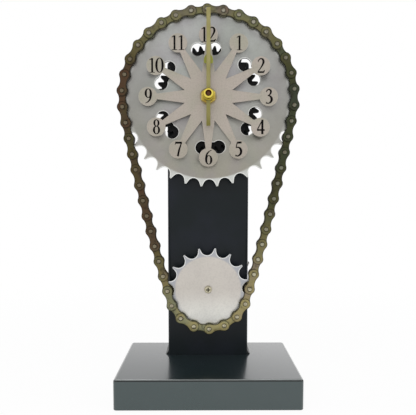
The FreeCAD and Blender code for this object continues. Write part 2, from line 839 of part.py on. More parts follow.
hour_wheel = gear(hour_wheel_teeth, hour_module, clock_thinning, hour_turn, hour_wheel_front_y,
                  hour_wheel_back_y, hour_pipe_bore, 0, hub_z)
hour_pipe = rod(hour_pipe_radius, pipe_front_y, hour_wheel_back_y, 0, hub_z)
hour_pipe = hour_pipe.cut(rod(hour_pipe_bore, pipe_front_y - cut_overrun,
                              hour_wheel_back_y + cut_overrun, 0, hub_z))
save("hour_wheel", hour_wheel.fuse(hour_pipe).removeSplitter())

arbor_back_y = cover_front_y - body_gap
arbor = rod(arbor_radius, arbor_front_y, motion_back_y + wheel_step, 0, hub_z)
arbor = arbor.fuse(rod(arbor_pivot_radius, motion_back_y, arbor_back_y, 0, hub_z))
save("minute_arbor", arbor.removeSplitter())
save("minute_pinion", gear(minute_pinion_teeth, motion_module, clock_thinning, minute_pinion_turn,
                           motion_front_y, motion_back_y, arbor_radius + seat_play / 2, 0, hub_z))

motion = gear(motion_wheel_teeth, motion_module, clock_thinning, motion_turn, motion_front_y,
              motion_back_y, motion_pin_radius + running_play, motion_x, hub_z)
motion = motion.fuse(gear(motion_pinion_teeth, hour_module, clock_thinning, motion_pinion_turn,
                          hour_wheel_front_y, motion_front_y, motion_pin_radius + running_play,
                          motion_x, hub_z))
save("motion_wheel", motion)

setting = gear(minute_pinion_teeth, motion_module, clock_thinning, setting_turn, motion_front_y,
               motion_back_y, setting_shaft_radius / 2, motion_x, setting_z)
setting = setting.fuse(rod(setting_shaft_radius, motion_front_y, movement_back_y + cover_thickness,
                           motion_x, setting_z))
knob_front_y = movement_back_y + body_gap
knob = rod(setting_knob_radius, knob_front_y, knob_front_y + setting_knob, motion_x, setting_z)
for k in range(setting_knob_flutes):
    p = turned(setting_knob_radius, 360 * k / setting_knob_flutes)
    knob = knob.cut(rod(flute_radius, knob_front_y - cut_overrun, knob_front_y + setting_knob + cut_overrun,
                        motion_x + p.x, setting_z + p.z))
save("setting_knob", setting.fuse(knob).removeSplitter())


def outline_of(right_half):
    """Closed outline from the edges of its right half, from the foot up to the tip."""
    left_half = [e.mirror(V(0, 0, 0), ASIDE) for e in right_half]
    return Part.__sortEdges__(right_half + left_half)


# Shares of the leaf's half width and of its length from shoulder to tip
leaf_shares = {"foot": (0.8, 0.0), "widest": (1.0, 0.13), "upper": (0.92, 0.29),
               "curve": (0.74, 0.43), "neck": (0.42, 0.55), "tip": (0.08, 1.0)}


def leaf(name):
    across_share, along_share = leaf_shares[name]
    return V(leaf_half_width * across_share, 0,
             leaf_shoulder + (hour_reach - leaf_shoulder) * along_share)


stem = hour_stem_half_width
hour_edges = [line(V(0, 0, 0), V(stem, 0, 0)), line(V(stem, 0, 0), V(stem, 0, leaf_shoulder)),
              line(V(stem, 0, leaf_shoulder), leaf("foot")),
              arc(leaf("foot"), leaf("widest"), leaf("upper")),
              arc(leaf("upper"), leaf("curve"), leaf("neck")), line(leaf("neck"), leaf("tip")),
              line(leaf("tip"), V(0, 0, leaf("tip").z))]
hour_hand = plate(outline_of(hour_edges), hour_blade_front_y, hour_blade_back_y)
hour_hand = hour_hand.fuse(rod(hour_hub_radius, hour_blade_front_y, hour_blade_back_y))
hour_hand = hour_hand.fuse(rod(hour_collar_radius, hour_blade_back_y, hour_blade_back_y + hour_collar))
hour_hand = hour_hand.cut(rod(hour_pipe_radius + seat_play / 2, hour_blade_front_y - cut_overrun,
                              neck_front_y))
hour_hand.translate(V(0, 0, hub_z))
save("hour_hand", hour_hand.removeSplitter())

minute_hand = block(-minute_half_width, minute_half_width, minute_blade_front_y, minute_blade_back_y,
                    -minute_tail, minute_reach)
minute_hand = minute_hand.fuse(rod(minute_hub_radius, minute_blade_front_y, minute_blade_back_y))
minute_hand = minute_hand.fuse(rod(minute_collar_radius, minute_blade_back_y,
                                   minute_blade_back_y + minute_collar))
minute_hand = minute_hand.cut(rod(arbor_radius + seat_play / 2, minute_blade_front_y - cut_overrun,
                                  hour_blade_front_y))
minute_hand.translate(V(0, 0, hub_z))
save("minute_hand", minute_hand.removeSplitter())

foot_front_y = minute_blade_front_y - hand_nut_foot
hand_nut = rod(hand_nut_foot_radius, foot_front_y, minute_blade_front_y, 0, hub_z)
hand_nut = hand_nut.fuse(rod(hand_nut_radius, hand_nut_front_y, foot_front_y, 0, hub_z))
front_rim = [e for e in hand_nut.Edges if isinstance(e.Curve, Part.Circle)
             and e.BoundBox.YMax < hand_nut_front_y + hand_nut_foot / 2]
hand_nut = hand_nut.makeFillet(hand_nut_foot, front_rim)
hand_nut = hand_nut.cut(rod(arbor_radius + seat_play / 2, hand_nut_front_y - cut_overrun,
                            minute_blade_front_y + cut_overrun, 0, hub_z))
hand_nut = hand_nut.cut(Part.makeCone(hand_nut_radius - hand_nut_foot, arbor_radius, arbor_short_of_nut,
                                      V(0, hand_nut_front_y, hub_z), BACK))
save("hand_nut", hand_nut)

# Gearmotor, its clamp and the pinion

gearbox_back_y = post_back_y + gearbox_length
motor_back_y = gearbox_back_y + motor_length


def gearbox_slab(y_front, y_back, share):
    half_x, half_z = gearbox_width / 2 * share, gearbox_height / 2 * share
    return block(-half_x, half_x, y_front, y_back, pinion_z - half_z, pinion_z + half_z)


gearbox = gearbox_slab(post_back_y, gearbox_back_y, gearbox_core_share)
for y in (post_back_y, (post_back_y + gearbox_back_y - gearbox_plate) / 2, gearbox_back_y - gearbox_plate):
    gearbox = gearbox.fuse(gearbox_slab(y, y + gearbox_plate, 1))
gearbox = gearbox.fuse(rod(gearbox_boss_radius, post_back_y - gearbox_boss, post_back_y, 0, pinion_z))
gearbox = gearbox.cut(rod(shaft_radius + running_play, post_back_y - gearbox_boss - cut_overrun,
                          gearbox_back_y - gearbox_plate, 0, pinion_z))
save("motor_gearbox", gearbox.removeSplitter())

can = rod(gearbox_width / 2, gearbox_back_y, motor_back_y, 0, pinion_z)
can = can.common(block(-gearbox_width, gearbox_width, gearbox_back_y, motor_back_y,
                       pinion_z - motor_flats / 2, pinion_z + motor_flats / 2))
save("motor_can", can)

terminal = block(terminal_offset - terminal_width / 2, terminal_offset + terminal_width / 2, motor_back_y,
                 motor_back_y + terminal_length, pinion_z - terminal_height / 2,
                 pinion_z + terminal_height / 2)
save("motor_terminals", terminal, mirrored(terminal))


def shaft_body(y_front, y_back, play):
    """Round shaft with a driving flat, or with play the bore that fits it."""
    body = rod(shaft_radius + play, y_front, y_back, 0, pinion_z)
    flat_z = pinion_z + shaft_radius - shaft_flat + play
    return body.cut(block(-2 * shaft_radius, 2 * shaft_radius, y_front, y_back,
                          flat_z, flat_z + 2 * shaft_radius))


shaft_front_y = post_back_y - shaft_reach
flat_back_y = post_front_y - gearbox_boss
shaft = shaft_body(shaft_front_y, flat_back_y, 0)
shaft = shaft.fuse(rod(shaft_radius, flat_back_y, gearbox_back_y - gearbox_plate - body_gap, 0, pinion_z))
save("motor_shaft", shaft.removeSplitter())

pinion_front_y = sprocket_back_y + pinion_side_play
pinion_back_y = gear_back_y + pinion_side_play
# The gear's teeth pass the line between the axes at this dial angle, and the pinion's gap meets it
gear_step = 360 / gear_teeth
nearest_tooth = gear_turn + gear_step * round((180 - gear_turn) / gear_step)
pinion_turn = (180 - nearest_tooth) * gear_teeth / pinion_teeth + 180 / pinion_teeth
pinion = gear(pinion_teeth, gear_module, gear_thinning, pinion_turn, pinion_front_y, pinion_back_y,
              shaft_radius / 2, 0, pinion_z)
pinion = pinion.fuse(rod(pinion_boss_radius, pinion_back_y, pinion_back_y + pinion_boss_length,
                         0, pinion_z))
pinion = pinion.cut(shaft_body(pinion_front_y - cut_overrun,
                               pinion_back_y + pinion_boss_length + cut_overrun, seat_play))
save("motor_pinion", pinion.removeSplitter())

clamp_half_x = gearbox_width / 2 + clamp_wall
clamp_half_z = gearbox_height / 2 + clamp_wall
clamp = block(-clamp_half_x, clamp_half_x, post_back_y, post_back_y + clamp_depth,
              pinion_z - clamp_half_z, pinion_z + clamp_half_z)
ear_half_x = clamp_half_x + clamp_ear
clamp = clamp.fuse(block(-ear_half_x, ear_half_x, post_back_y, post_back_y + clamp_ear_thickness,
                         pinion_z - clamp_ear_half_height, pinion_z + clamp_ear_half_height))
clamp = clamp.cut(block(-gearbox_width / 2 - seat_play, gearbox_width / 2 + seat_play,
                        post_back_y - cut_overrun, post_back_y + clamp_depth + cut_overrun,
                        pinion_z - gearbox_height / 2 - seat_play, pinion_z + gearbox_height / 2 + seat_play))
clamp_screw_x = clamp_half_x + clamp_ear / 2
clamp_screw_length = post_sheet + clamp_ear_thickness
clamp_screw_places = [V(x, post_front_y, pinion_z) for x in (-clamp_screw_x, clamp_screw_x)]
for p in clamp_screw_places:
    clamp = clamp.cut(rod(clamp_screw_radius + seat_play, post_front_y, post_back_y + clamp_depth,
                          p.x, p.z))
save("motor_clamp", clamp.removeSplitter())
save("clamp_screws", *[pan_screw(p, BACK, clamp_screw_head_radius, clamp_screw_head, clamp_screw_radius,
                                 clamp_screw_length) for p in clamp_screw_places])

# Battery holder with two cells, on foam tape

holder_front_y = post_back_y + tape_thickness
holder_inside_y = holder_front_y + holder_floor
holder_back_y = holder_inside_y + 2 * (cell_radius + cell_play)
half_bay = 2 * (cell_radius + cell_play)
half_length = cell_length / 2 + contact_sheet + 2 * cell_play
holder_half_x = half_bay + holder_wall
holder_half_z = half_length + holder_wall
holder_cell_x = cell_radius + cell_play
holder_cell_y = holder_inside_y + cell_radius + cell_play
holder = block(-holder_half_x, holder_half_x, holder_front_y, holder_back_y,
               holder_z - holder_half_z, holder_z + holder_half_z)
holder = holder.cut(block(-half_bay, half_bay, holder_inside_y, holder_back_y + cut_overrun,
                          holder_z - half_length, holder_z + half_length))
notch_half_z = half_length - holder_notch
holder = holder.cut(block(-holder_half_x - cut_overrun, holder_half_x + cut_overrun, holder_cell_y,
                          holder_back_y + cut_overrun, holder_z - notch_half_z, holder_z + notch_half_z))
tag_slot = block(-tag_width / 2 - seat_play, tag_width / 2 + seat_play,
                 holder_cell_y - contact_sheet / 2 - seat_play, holder_cell_y + contact_sheet / 2 + seat_play,
                 holder_z + half_length - cut_overrun, holder_z + holder_half_z + cut_overrun)
for x in (-holder_cell_x, holder_cell_x):
    slot = tag_slot.copy()
    slot.translate(V(x, 0, 0))
    holder = holder.cut(slot)
save("battery_holder", holder.removeSplitter())

save("foam_tape", block(-holder_half_x + tape_inset, holder_half_x - tape_inset, post_back_y,
                        holder_front_y, holder_z - holder_half_z + tape_inset,
                        holder_z + holder_half_z - tape_inset))
save("battery_cells", finger_cell(V(-holder_cell_x, holder_cell_y, holder_z), UP),
     finger_cell(V(holder_cell_x, holder_cell_y, holder_z), V(0, 0, -1)))

contact_rise = half_length - cell_length / 2 - contact_sheet - running_play


def end_contact(x):
    """Contact plate at the top of the holder with its bump and solder tag."""
    top_z = holder_z + half_length
    pad = block(x - contact_side / 2, x + contact_side / 2, holder_cell_y - contact_side / 2,
                holder_cell_y + contact_side / 2, top_z - contact_sheet, top_z)
    pad = pad.fuse(Part.makeCylinder(contact_bump_radius, contact_rise + contact_sheet,
                                     V(x, holder_cell_y, top_z - contact_sheet - contact_rise)))
    tag = block(x - tag_width / 2, x + tag_width / 2, holder_cell_y - contact_sheet / 2,
                holder_cell_y + contact_sheet / 2, top_z - contact_sheet,
                holder_z + holder_half_z + tag_rise)
    return pad.fuse(tag).removeSplitter()


link_bottom_z = holder_z - half_length
link = block(-holder_cell_x - contact_side / 2, holder_cell_x + contact_side / 2,
             holder_cell_y - contact_side / 2, holder_cell_y + contact_side / 2,
             link_bottom_z, link_bottom_z + contact_sheet)
for x in (-holder_cell_x, holder_cell_x):
    link = link.fuse(Part.makeCylinder(contact_bump_radius, contact_rise + contact_sheet,
                                       V(x, holder_cell_y, link_bottom_z)))
save("holder_contacts", end_contact(-holder_cell_x), end_contact(holder_cell_x), link.removeSplitter())

# Slide switch in the right flange: the lever slides along Y

flange_out_x = post_width / 2
flange_in_x = flange_out_x - post_sheet
switch_y = post_front_y + switch_behind_front
switch_in_x = flange_in_x - switch_ear_sheet - switch_body_depth
half_switch = switch_length / 2
lever_half_y, lever_half_z = slider_length / 2, slider_height / 2
window_half_y = lever_half_y + switch_travel + slider_play
window_half_z = lever_half_z + slider_play

switch_body = block(switch_in_x, flange_in_x, switch_y - half_switch, switch_y + half_switch,
                    switch_z - switch_height / 2, switch_z + switch_height / 2)
switch_body = switch_body.fuse(block(flange_in_x - switch_ear_sheet, flange_in_x,
                                     switch_y - half_switch - switch_ear,
                                     switch_y + half_switch + switch_ear,
                                     switch_z - switch_height / 2, switch_z + switch_height / 2))
foot_room_x = flange_in_x - switch_ear_sheet - slider_foot - 2 * slider_play
foot_half_y = slider_foot_length / 2 + switch_travel + slider_play
switch_body = switch_body.cut(block(foot_room_x, flange_in_x - switch_ear_sheet, switch_y - foot_half_y,
                                    switch_y + foot_half_y, switch_z - window_half_z,
                                    switch_z + window_half_z))
lever_window = block(flange_in_x - switch_ear_sheet - slider_play, flange_out_x + cut_overrun,
                     switch_y - window_half_y, switch_y + window_half_y,
                     switch_z - window_half_z, switch_z + window_half_z)
switch_body = switch_body.cut(lever_window)
switch_screw_y = half_switch + switch_ear / 2
switch_screw_places = [V(flange_out_x, switch_y + side * switch_screw_y, switch_z) for side in (-1, 1)]


def across_hole(p, radius):
    """Hole through the right flange and what is screwed to it."""
    return Part.makeCylinder(radius, post_sheet + switch_ear_sheet + 2 * cut_overrun,
                             p + V(cut_overrun, 0, 0), V(-1, 0, 0))


for p in switch_screw_places:
    switch_body = switch_body.cut(across_hole(p, switch_screw_radius + seat_play))
save("switch_body", switch_body.removeSplitter())

tab = block(switch_in_x - tab_reach, switch_in_x, -tab_width / 2, tab_width / 2,
            switch_z - tab_sheet / 2, switch_z + tab_sheet / 2)
tabs = []
for k in (-1, 0, 1):
    copy = tab.copy()
    copy.translate(V(0, switch_y + k * tab_spacing, 0))
    tabs.append(copy)
save("switch_tabs", *tabs)

foot_back_x = flange_in_x - switch_ear_sheet - slider_play
slider = block(foot_back_x - slider_foot, foot_back_x, switch_y - slider_foot_length / 2,
               switch_y + slider_foot_length / 2, switch_z - lever_half_z, switch_z + lever_half_z)
slider = slider.fuse(block(foot_back_x - slider_foot, flange_out_x + slider_proud,
                           switch_y - lever_half_y, switch_y + lever_half_y,
                           switch_z - lever_half_z, switch_z + lever_half_z))
save("switch_slider", slider.removeSplitter())
save("switch_screws", *[pan_screw(p, V(-1, 0, 0), switch_screw_head_radius, switch_screw_head,
                                  switch_screw_radius, switch_screw_length) for p in switch_screw_places])

# Idler: shoulder screw, spacer, washer and nut

spacer_front_y = sprocket_back_y + body_gap
shoulder_front_y = sprocket_front_y - body_gap
idler_nut_y = post_back_y + idler_washer
thread_length = post_back_y + idler_washer + idler_nut + idler_thread_proud - spacer_front_y
idler_clear = rod(idler_thread_radius + seat_play, spacer_front_y - cut_overrun,
                  idler_nut_y + idler_nut + cut_overrun, 0, idler_z)
idler_screw = pan_screw(V(0, shoulder_front_y, idler_z), BACK, idler_head_radius, idler_head,
                        idler_shoulder_radius, spacer_front_y - shoulder_front_y)
idler_screw = idler_screw.fuse(rod(idler_thread_radius, spacer_front_y, spacer_front_y + thread_length,
                                   0, idler_z))
save("idler_screw", idler_screw)
save("idler_spacer", rod(idler_spacer_radius, spacer_front_y, post_front_y, 0, idler_z).cut(idler_clear))
save("idler_washer", rod(idler_washer_radius, post_back_y, idler_nut_y, 0, idler_z).cut(idler_clear))
save("idler_nut", hexagon(idler_nut_flats, idler_nut_y, idler_nut_y + idler_nut, 0, idler_z)
     .cut(idler_clear))

# Post with the holes that its fittings pass through

half_post = post_width / 2
bend_in = post_bend_radius - post_sheet
mid_bend_out = post_bend_radius * (1 - math.sqrt(0.5))
mid_bend_in = post_sheet + bend_in * (1 - math.sqrt(0.5))


def channel_side(side):
    """Corner points of one bend: outer start, middle and end, then inner end, middle, start."""
    outer = [V(side * (half_post - post_bend_radius), post_front_y, 0),
             V(side * (half_post - mid_bend_out), post_front_y + mid_bend_out, 0),
             V(side * half_post, post_front_y + post_bend_radius, 0)]
    inner = [V(side * (half_post - post_bend_radius), post_back_y, 0),
             V(side * (half_post - mid_bend_in), post_front_y + mid_bend_in, 0),
             V(side * (half_post - post_sheet), post_front_y + post_bend_radius, 0)]
    return outer, inner


(left_out, left_in), (right_out, right_in) = channel_side(-1), channel_side(1)
rear_left = [V(-half_post, post_rear_y, 0), V(-half_post + post_sheet, post_rear_y, 0)]
rear_right = [V(half_post, post_rear_y, 0), V(half_post - post_sheet, post_rear_y, 0)]
section = [line(left_out[0], right_out[0]), arc(*right_out), line(right_out[2], rear_right[0]),
           line(rear_right[0], rear_right[1]), line(rear_right[1], right_in[2]), arc(*reversed(right_in)),
           line(right_in[0], left_in[0]), arc(*left_in), line(left_in[2], rear_left[1]),
           line(rear_left[1], rear_left[0]), line(rear_left[0], left_out[2]), arc(*reversed(left_out))]
channel = Part.Face(Part.Wire(section)).extrude(V(0, 0, post_top_z - base_top_z))
channel.translate(V(0, 0, base_top_z))

front_view = block(-half_post, half_post, post_front_y, post_rear_y, base_top_z, post_top_z)
upper = [e for e in edges_along(front_view, BACK) if e.BoundBox.ZMin > base_top_z + post_above_hub]
channel = channel.common(front_view.makeFillet(post_corner_radius, upper))
side_view = block(-half_post, half_post, post_front_y, post_rear_y, base_top_z, post_top_z)
rear = [e for e in edges_along(side_view, ASIDE)
        if e.BoundBox.ZMin > base_top_z + post_above_hub and e.BoundBox.YMin > post_back_y]
channel = channel.common(side_view.makeFillet(post_rear_radius, rear))


def web_hole(radius, x, z):
    return rod(radius, post_front_y - cut_overrun, post_back_y + cut_overrun, x, z)


channel = channel.cut(web_hole(sleeve_spigot_radius + seat_play, 0, hub_z))
channel = channel.cut(web_hole(shaft_window_radius, 0, pinion_z))
channel = channel.cut(web_hole(idler_thread_radius + seat_play, 0, idler_z))
for p in clamp_screw_places:
    channel = channel.cut(web_hole(clamp_screw_radius + seat_play, p.x, p.z))
channel = channel.cut(lever_window)
for p in switch_screw_places:
    channel = channel.cut(across_hole(p, switch_screw_radius + seat_play))
save("post_channel", channel)

weld_hollow_share = 0.36
weld_edges = [line(V(half_post, 0, base_top_z), V(half_post + weld_reach, 0, base_top_z)),
              arc(V(half_post + weld_reach, 0, base_top_z),
                  V(half_post + weld_reach * weld_hollow_share, 0, base_top_z + weld_rise * weld_hollow_share),
                  V(half_post, 0, base_top_z + weld_rise)),
              line(V(half_post, 0, base_top_z + weld_rise), V(half_post, 0, base_top_z))]
weld = plate(weld_edges, post_front_y + post_bend_radius, post_rear_y)
save("post_welds", weld, mirrored(weld))

# Wires inside the post: battery to switch, switch to motor, motor back to battery


def tube(points, radius):
    """Round tube along straight runs joined by tangent arcs as large as the runs allow."""
    edges, here, arcs = [], points[0], []
    for before, corner, after in zip(points, points[1:], points[2:]):
        into, out = corner - before, after - corner
        room_before = into.Length if before == points[0] else into.Length / 2
        room_after = out.Length if after == points[-1] else out.Length / 2
        back_off = min(room_before, room_after) * bend_share
        into.normalize()
        out.normalize()
        turn = into.getAngle(out)
        bend = back_off / math.tan(turn / 2)
        start, end = corner - into * back_off, corner + out * back_off
        towards = (out - into).normalize()
        middle = corner + towards * (bend / math.cos(turn / 2) - bend)
        edges += [line(here, start), arc(start, middle, end)]
        here = end
        arcs.append(round(bend, 1))
    edges.append(line(here, points[-1]))
    path = Part.Wire(edges)
    ring = Part.Wire(Part.makeCircle(radius, points[0], points[1] - points[0]))
    body = path.makePipeShell([ring], True, False)
    print("bends", arcs, "volume over section times length",
          round(body.Volume / (math.pi * radius ** 2 * path.Length), 4))
    return body


tag_top = V(holder_cell_x, holder_cell_y, holder_z + holder_half_z + tag_rise)
tag_top_left = V(-tag_top.x, tag_top.y, tag_top.z)
motor_foot = V(terminal_offset, motor_back_y + terminal_length / 2, pinion_z - terminal_height / 2)
motor_foot_left = V(-motor_foot.x, motor_foot.y, motor_foot.z)
tab_x = switch_in_x - tab_reach / 2
tab_top_z = switch_z + tab_sheet / 2
supply_tab = V(tab_x, switch_y - tab_spacing, tab_top_z)
motor_tab = V(tab_x, switch_y, tab_top_z)

rise = V(0, 0, wire_rise)
supply_y = post_back_y + supply_behind_web
motor_wire_y = post_back_y + motor_wire_behind_web
return_route = [tag_top_left, tag_top_left + rise, motor_foot_left - rise, motor_foot_left]
supply_route = [tag_top, tag_top + rise, V(supply_x, supply_y, tag_top.z + wire_rise),
                V(supply_x, supply_y, supply_foot_z), supply_tab + rise, supply_tab]
motor_route = [motor_tab, motor_tab + V(0, 0, motor_wire_rise), V(motor_wire_x, motor_wire_y, motor_wire_z),
               motor_foot - V(0, 0, motor_wire_drop), motor_foot]
save("wire_return", tube(return_route, wire_radius))
save("wire_supply", tube(supply_route, wire_radius))
save("wire_motor", tube(motor_route, wire_radius))
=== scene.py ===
import json
import math
import bmesh
import bpy
import numpy as np
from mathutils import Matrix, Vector
from mathutils.geometry import delaunay_2d_cdt

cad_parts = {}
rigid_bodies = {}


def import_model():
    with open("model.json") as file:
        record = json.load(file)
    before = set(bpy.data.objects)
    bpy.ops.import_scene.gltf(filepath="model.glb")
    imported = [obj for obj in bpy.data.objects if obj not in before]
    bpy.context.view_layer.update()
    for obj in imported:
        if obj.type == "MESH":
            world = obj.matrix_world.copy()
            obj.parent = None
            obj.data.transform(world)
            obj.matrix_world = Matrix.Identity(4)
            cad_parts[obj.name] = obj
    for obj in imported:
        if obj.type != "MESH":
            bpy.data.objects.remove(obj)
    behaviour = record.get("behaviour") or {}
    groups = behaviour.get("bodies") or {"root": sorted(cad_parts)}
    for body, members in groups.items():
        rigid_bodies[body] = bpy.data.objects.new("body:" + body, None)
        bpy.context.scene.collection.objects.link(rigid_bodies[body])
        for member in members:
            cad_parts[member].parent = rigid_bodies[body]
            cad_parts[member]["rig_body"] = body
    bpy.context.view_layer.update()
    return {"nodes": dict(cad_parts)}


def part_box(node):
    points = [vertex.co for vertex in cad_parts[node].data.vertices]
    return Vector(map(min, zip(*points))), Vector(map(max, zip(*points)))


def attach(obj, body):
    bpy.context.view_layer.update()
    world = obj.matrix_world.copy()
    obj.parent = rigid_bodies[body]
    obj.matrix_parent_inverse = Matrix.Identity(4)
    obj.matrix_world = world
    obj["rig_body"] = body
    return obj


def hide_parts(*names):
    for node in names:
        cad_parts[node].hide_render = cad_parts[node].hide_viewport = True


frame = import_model()

# Base tray
# Sheet steel folded into a shallow tray, open below, with a lip turned in along the front and
# the back. Its satin grey-black powder coat has a fine orange-peel skin and mirrors the room.


class Wire:
    """A shader socket that takes part in arithmetic: +, - and * each add one Math node."""

    def __init__(self, nodes, socket):
        self.nodes, self.socket = nodes, socket

    def maths(self, operation, *values):
        return self.nodes.add("Math", {"operation": operation}, dict(enumerate(values)))

    def above(self, low, high):
        """Rises from 0 to 1 while the value goes from low to high."""
        settings = {"interpolation_type": "SMOOTHSTEP"}
        return self.nodes.add("MapRange", settings, {"Value": self, "From Min": low, "From Max": high})


for sign, operation in (("add", "ADD"), ("sub", "SUBTRACT"), ("mul", "MULTIPLY")):
    setattr(Wire, f"__{sign}__", lambda self, other, kind=operation: self.maths(kind, self, other))
    setattr(Wire, f"__r{sign}__", lambda self, other, kind=operation: self.maths(kind, other, self))


class Nodes:
    """The nodes of one material or of the world."""

    def __init__(self, owner):
        owner.use_nodes = True
        self.owner, self.tree = owner, owner.node_tree
        self.tree.nodes.clear()

    def add(self, kind, settings=None, values=None, out=0):
        """Adds one node: its settings first, then each socket's value or link; gives one output."""
        node = self.tree.nodes.new("ShaderNode" + kind)
        for name, value in (settings or {}).items():
            if name == "stops":
                ramp = node.color_ramp.elements
                while len(ramp) < len(value):
                    ramp.new(1)
                for stop, (place, colour) in zip(ramp, value):
                    stop.position, stop.color = place, colour
            else:
                setattr(node, name, value)
        for name, value in (values or {}).items():
            if isinstance(value, Wire):
                self.tree.links.new(value.socket, node.inputs[name])
            else:
                node.inputs[name].default_value = value
        return Wire(self, node.outputs[out]) if node.outputs else None

    def place(self, stretch=(1, 1, 1)):
        """Place on the object in metres, each axis multiplied by its stretch."""
        spot = self.add("TexCoord", out="Object")
        return self.add("VectorMath", {"operation": "MULTIPLY"}, {0: spot, 1: stretch})

    def noise(self, per_metre, detail, stretch=(1, 1, 1)):
        values = {"Vector": self.place(stretch), "Scale": per_metre, "Detail": detail}
        return self.add("TexNoise", values=values)

    def axis(self, number):
        """The X, Y or Z of the place on the object, in millimetres."""
        return self.add("SeparateXYZ", values={0: self.place()}, out=number) * 1000

    def from_axis(self, z):
        """Millimetres from the line along Y at height z: the root of the two squares' sum."""
        across, up = self.axis(0), self.axis(2) - z
        return up.maths("SQRT", across * across + up * up)

    def mix(self, share, first, second, way="MIX"):
        """Blend of two colours, each a socket, a triple of screen values or a linear colour."""
        first, second = (tone(c) if isinstance(c, tuple) and len(c) == 3 else c for c in (first, second))
        settings = {"data_type": "RGBA", "blend_type": way}
        return self.add("Mix", settings, {0: share, 6: first, 7: second}, out=2)

    def rim(self):
        """1 on the bevelled rims of a cut piece and 0 elsewhere."""
        return self.add("Attribute", {"attribute_name": "rim"}, out="Fac")

    def surface(self, colour, roughness, relief=None, deep=0.0, **sockets):
        """Ends the nodes in a Principled shader, with a bump so many millimetres deep and any other
        sockets, and gives the material."""
        values = {name.replace("_", " "): value for name, value in sockets.items()}
        values |= {"Base Color": colour, "Roughness": roughness}
        if relief:
            values["Normal"] = self.add("Bump", values={"Height": relief, "Distance": deep / 1000})
        self.add("OutputMaterial", values={0: self.add("BsdfPrincipled", values=values)})
        return self.owner


def finish(name):
    return Nodes(bpy.data.materials.new(name))


def tone(screen):
    """The linear colour that renders to a screen colour of 0 to 255."""
    share = np.array(screen) / 255
    return (*np.where(share < 0.04045, share / 12.92, ((share + 0.055) / 1.055) ** 2.4), 1)


def powder_coat(name, colour, dusty, gloss, reflect, glaze=0.0, top=None):
    """Orange-peel paint with faint clouds. Along a bend, rims of 1 carry a painted highlight and rims of
    0.5 a painted dark reflection line without glaze. The top is a height and a darker colour for the
    face there, which is painted shade."""
    n = finish(name)
    clouds, peel = n.noise(28, 3), n.noise(1400, 2)
    specks = n.noise(5200, 1).above(0.70, 0.78)
    # Painted light along a bend: a highlight on rims of 1 and a dark reflection line on rims of 0.5.
    painted_highlight = n.rim().above(0.6, 0.9)
    line = n.rim().above(0.2, 0.4) - painted_highlight
    colour = n.mix(clouds.above(0.35, 0.7) * 0.6 + specks * 0.12, colour, dusty)
    # Painted shade: the top face gets a darker colour than the sides.
    if top:
        colour = n.mix(n.axis(2).above(top[0] - 1, top[0]), colour, top[1])
    colour = n.mix(line * 0.9, colour, (5, 8, 9))
    colour = n.mix(painted_highlight * (clouds * 0.5 + 0.35), colour, (138, 142, 140))
    return n.surface(colour, gloss + clouds * 0.05 + peel * 0.04, peel, 0.012, IOR=reflect,
                     Coat_Weight=(1 - line) * glaze, Coat_Roughness=0.15)


def grid_faces(rows, columns):
    """Quads between rows of points, each row closed round on itself."""
    row, column = np.meshgrid(np.arange(rows - 1), np.arange(columns), indexing="ij")
    following = (column + 1) % columns
    corners = [row * columns + column, row * columns + following,
               (row + 1) * columns + following, (row + 1) * columns + column]
    return np.stack(corners, -1).reshape(-1, 4).tolist()


class Piece:
    """Patches of points and faces, in millimetres, that become one mesh in the place of some CAD nodes."""

    def __init__(self, *replaced, body="frame"):
        self.replaced, self.body = replaced, body
        self.points, self.faces, self.layers, self.count = [], [], [], 0

    def patch(self, points, faces, rims=0.0, coat=0, tint=0.0):
        """Adds points and faces; every face has a rim, a tint and the number of its material."""
        points = np.asarray(points, float).reshape(-1, 3)
        self.points.append(points)
        self.faces += [[corner + self.count for corner in face] for face in faces]
        self.layers += [(rim, tint, coat) for rim in np.broadcast_to(rims, len(faces))]
        self.count += len(points)
        return self

    def rings(self, rings, rims=0.0):
        """Skin over rows of points, each row a closed ring, with both end rings filled."""
        rings = np.asarray(rings, float)
        rows, columns = rings.shape[:2]
        ends = [list(range(columns)), list(range((rows - 1) * columns, rows * columns))]
        return self.patch(rings, grid_faces(rows, columns) + ends, rims)

    def build(self, name, slot, *materials):
        """Joins the patches at shared points, turns the faces outwards and dresses the mesh."""
        mesh = bpy.data.meshes.new(name)
        mesh.from_pydata(np.concatenate(self.points) / 1000, [], self.faces)
        rims, tints, coats = (np.array(layer, np.float32) for layer in zip(*self.layers))
        for title, values in (("rim", rims), ("tint", tints)):
            mesh.attributes.new(title, "FLOAT", "FACE").data.foreach_set("value", values)
        mesh.polygons.foreach_set("material_index", coats.astype(np.int32))
        work = bmesh.new()
        work.from_mesh(mesh)
        bmesh.ops.remove_doubles(work, verts=work.verts, dist=1e-6)
        bmesh.ops.dissolve_degenerate(work, dist=1e-7, edges=work.edges)
        bmesh.ops.recalc_face_normals(work, faces=work.faces)
        work.to_mesh(mesh)
        work.free()
        dressed(name, mesh, self.body, self.replaced, materials)


def added(name, data):
    """New object in the scene, at the world's origin."""
    thing = bpy.data.objects.new(name, data)
    bpy.context.scene.collection.objects.link(thing)
    return thing


def dressed(name, mesh, body, replaced, materials, turn=34):
    """Mesh as a piece of the clock, shaded smooth up to a turn in degrees, painted and riding on its
    body."""
    mesh.polygons.foreach_set("use_smooth", np.ones(len(mesh.polygons), bool))
    mesh.set_sharp_from_angle(angle=math.radians(turn))
    piece = added(name, mesh)
    for material in materials:
        mesh.materials.append(material)
    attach(piece, body)
    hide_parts(*replaced)
    return piece


def extent(node):
    """Lowest and highest corner of a CAD node, in millimetres."""
    return np.array(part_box(node)) * 1000


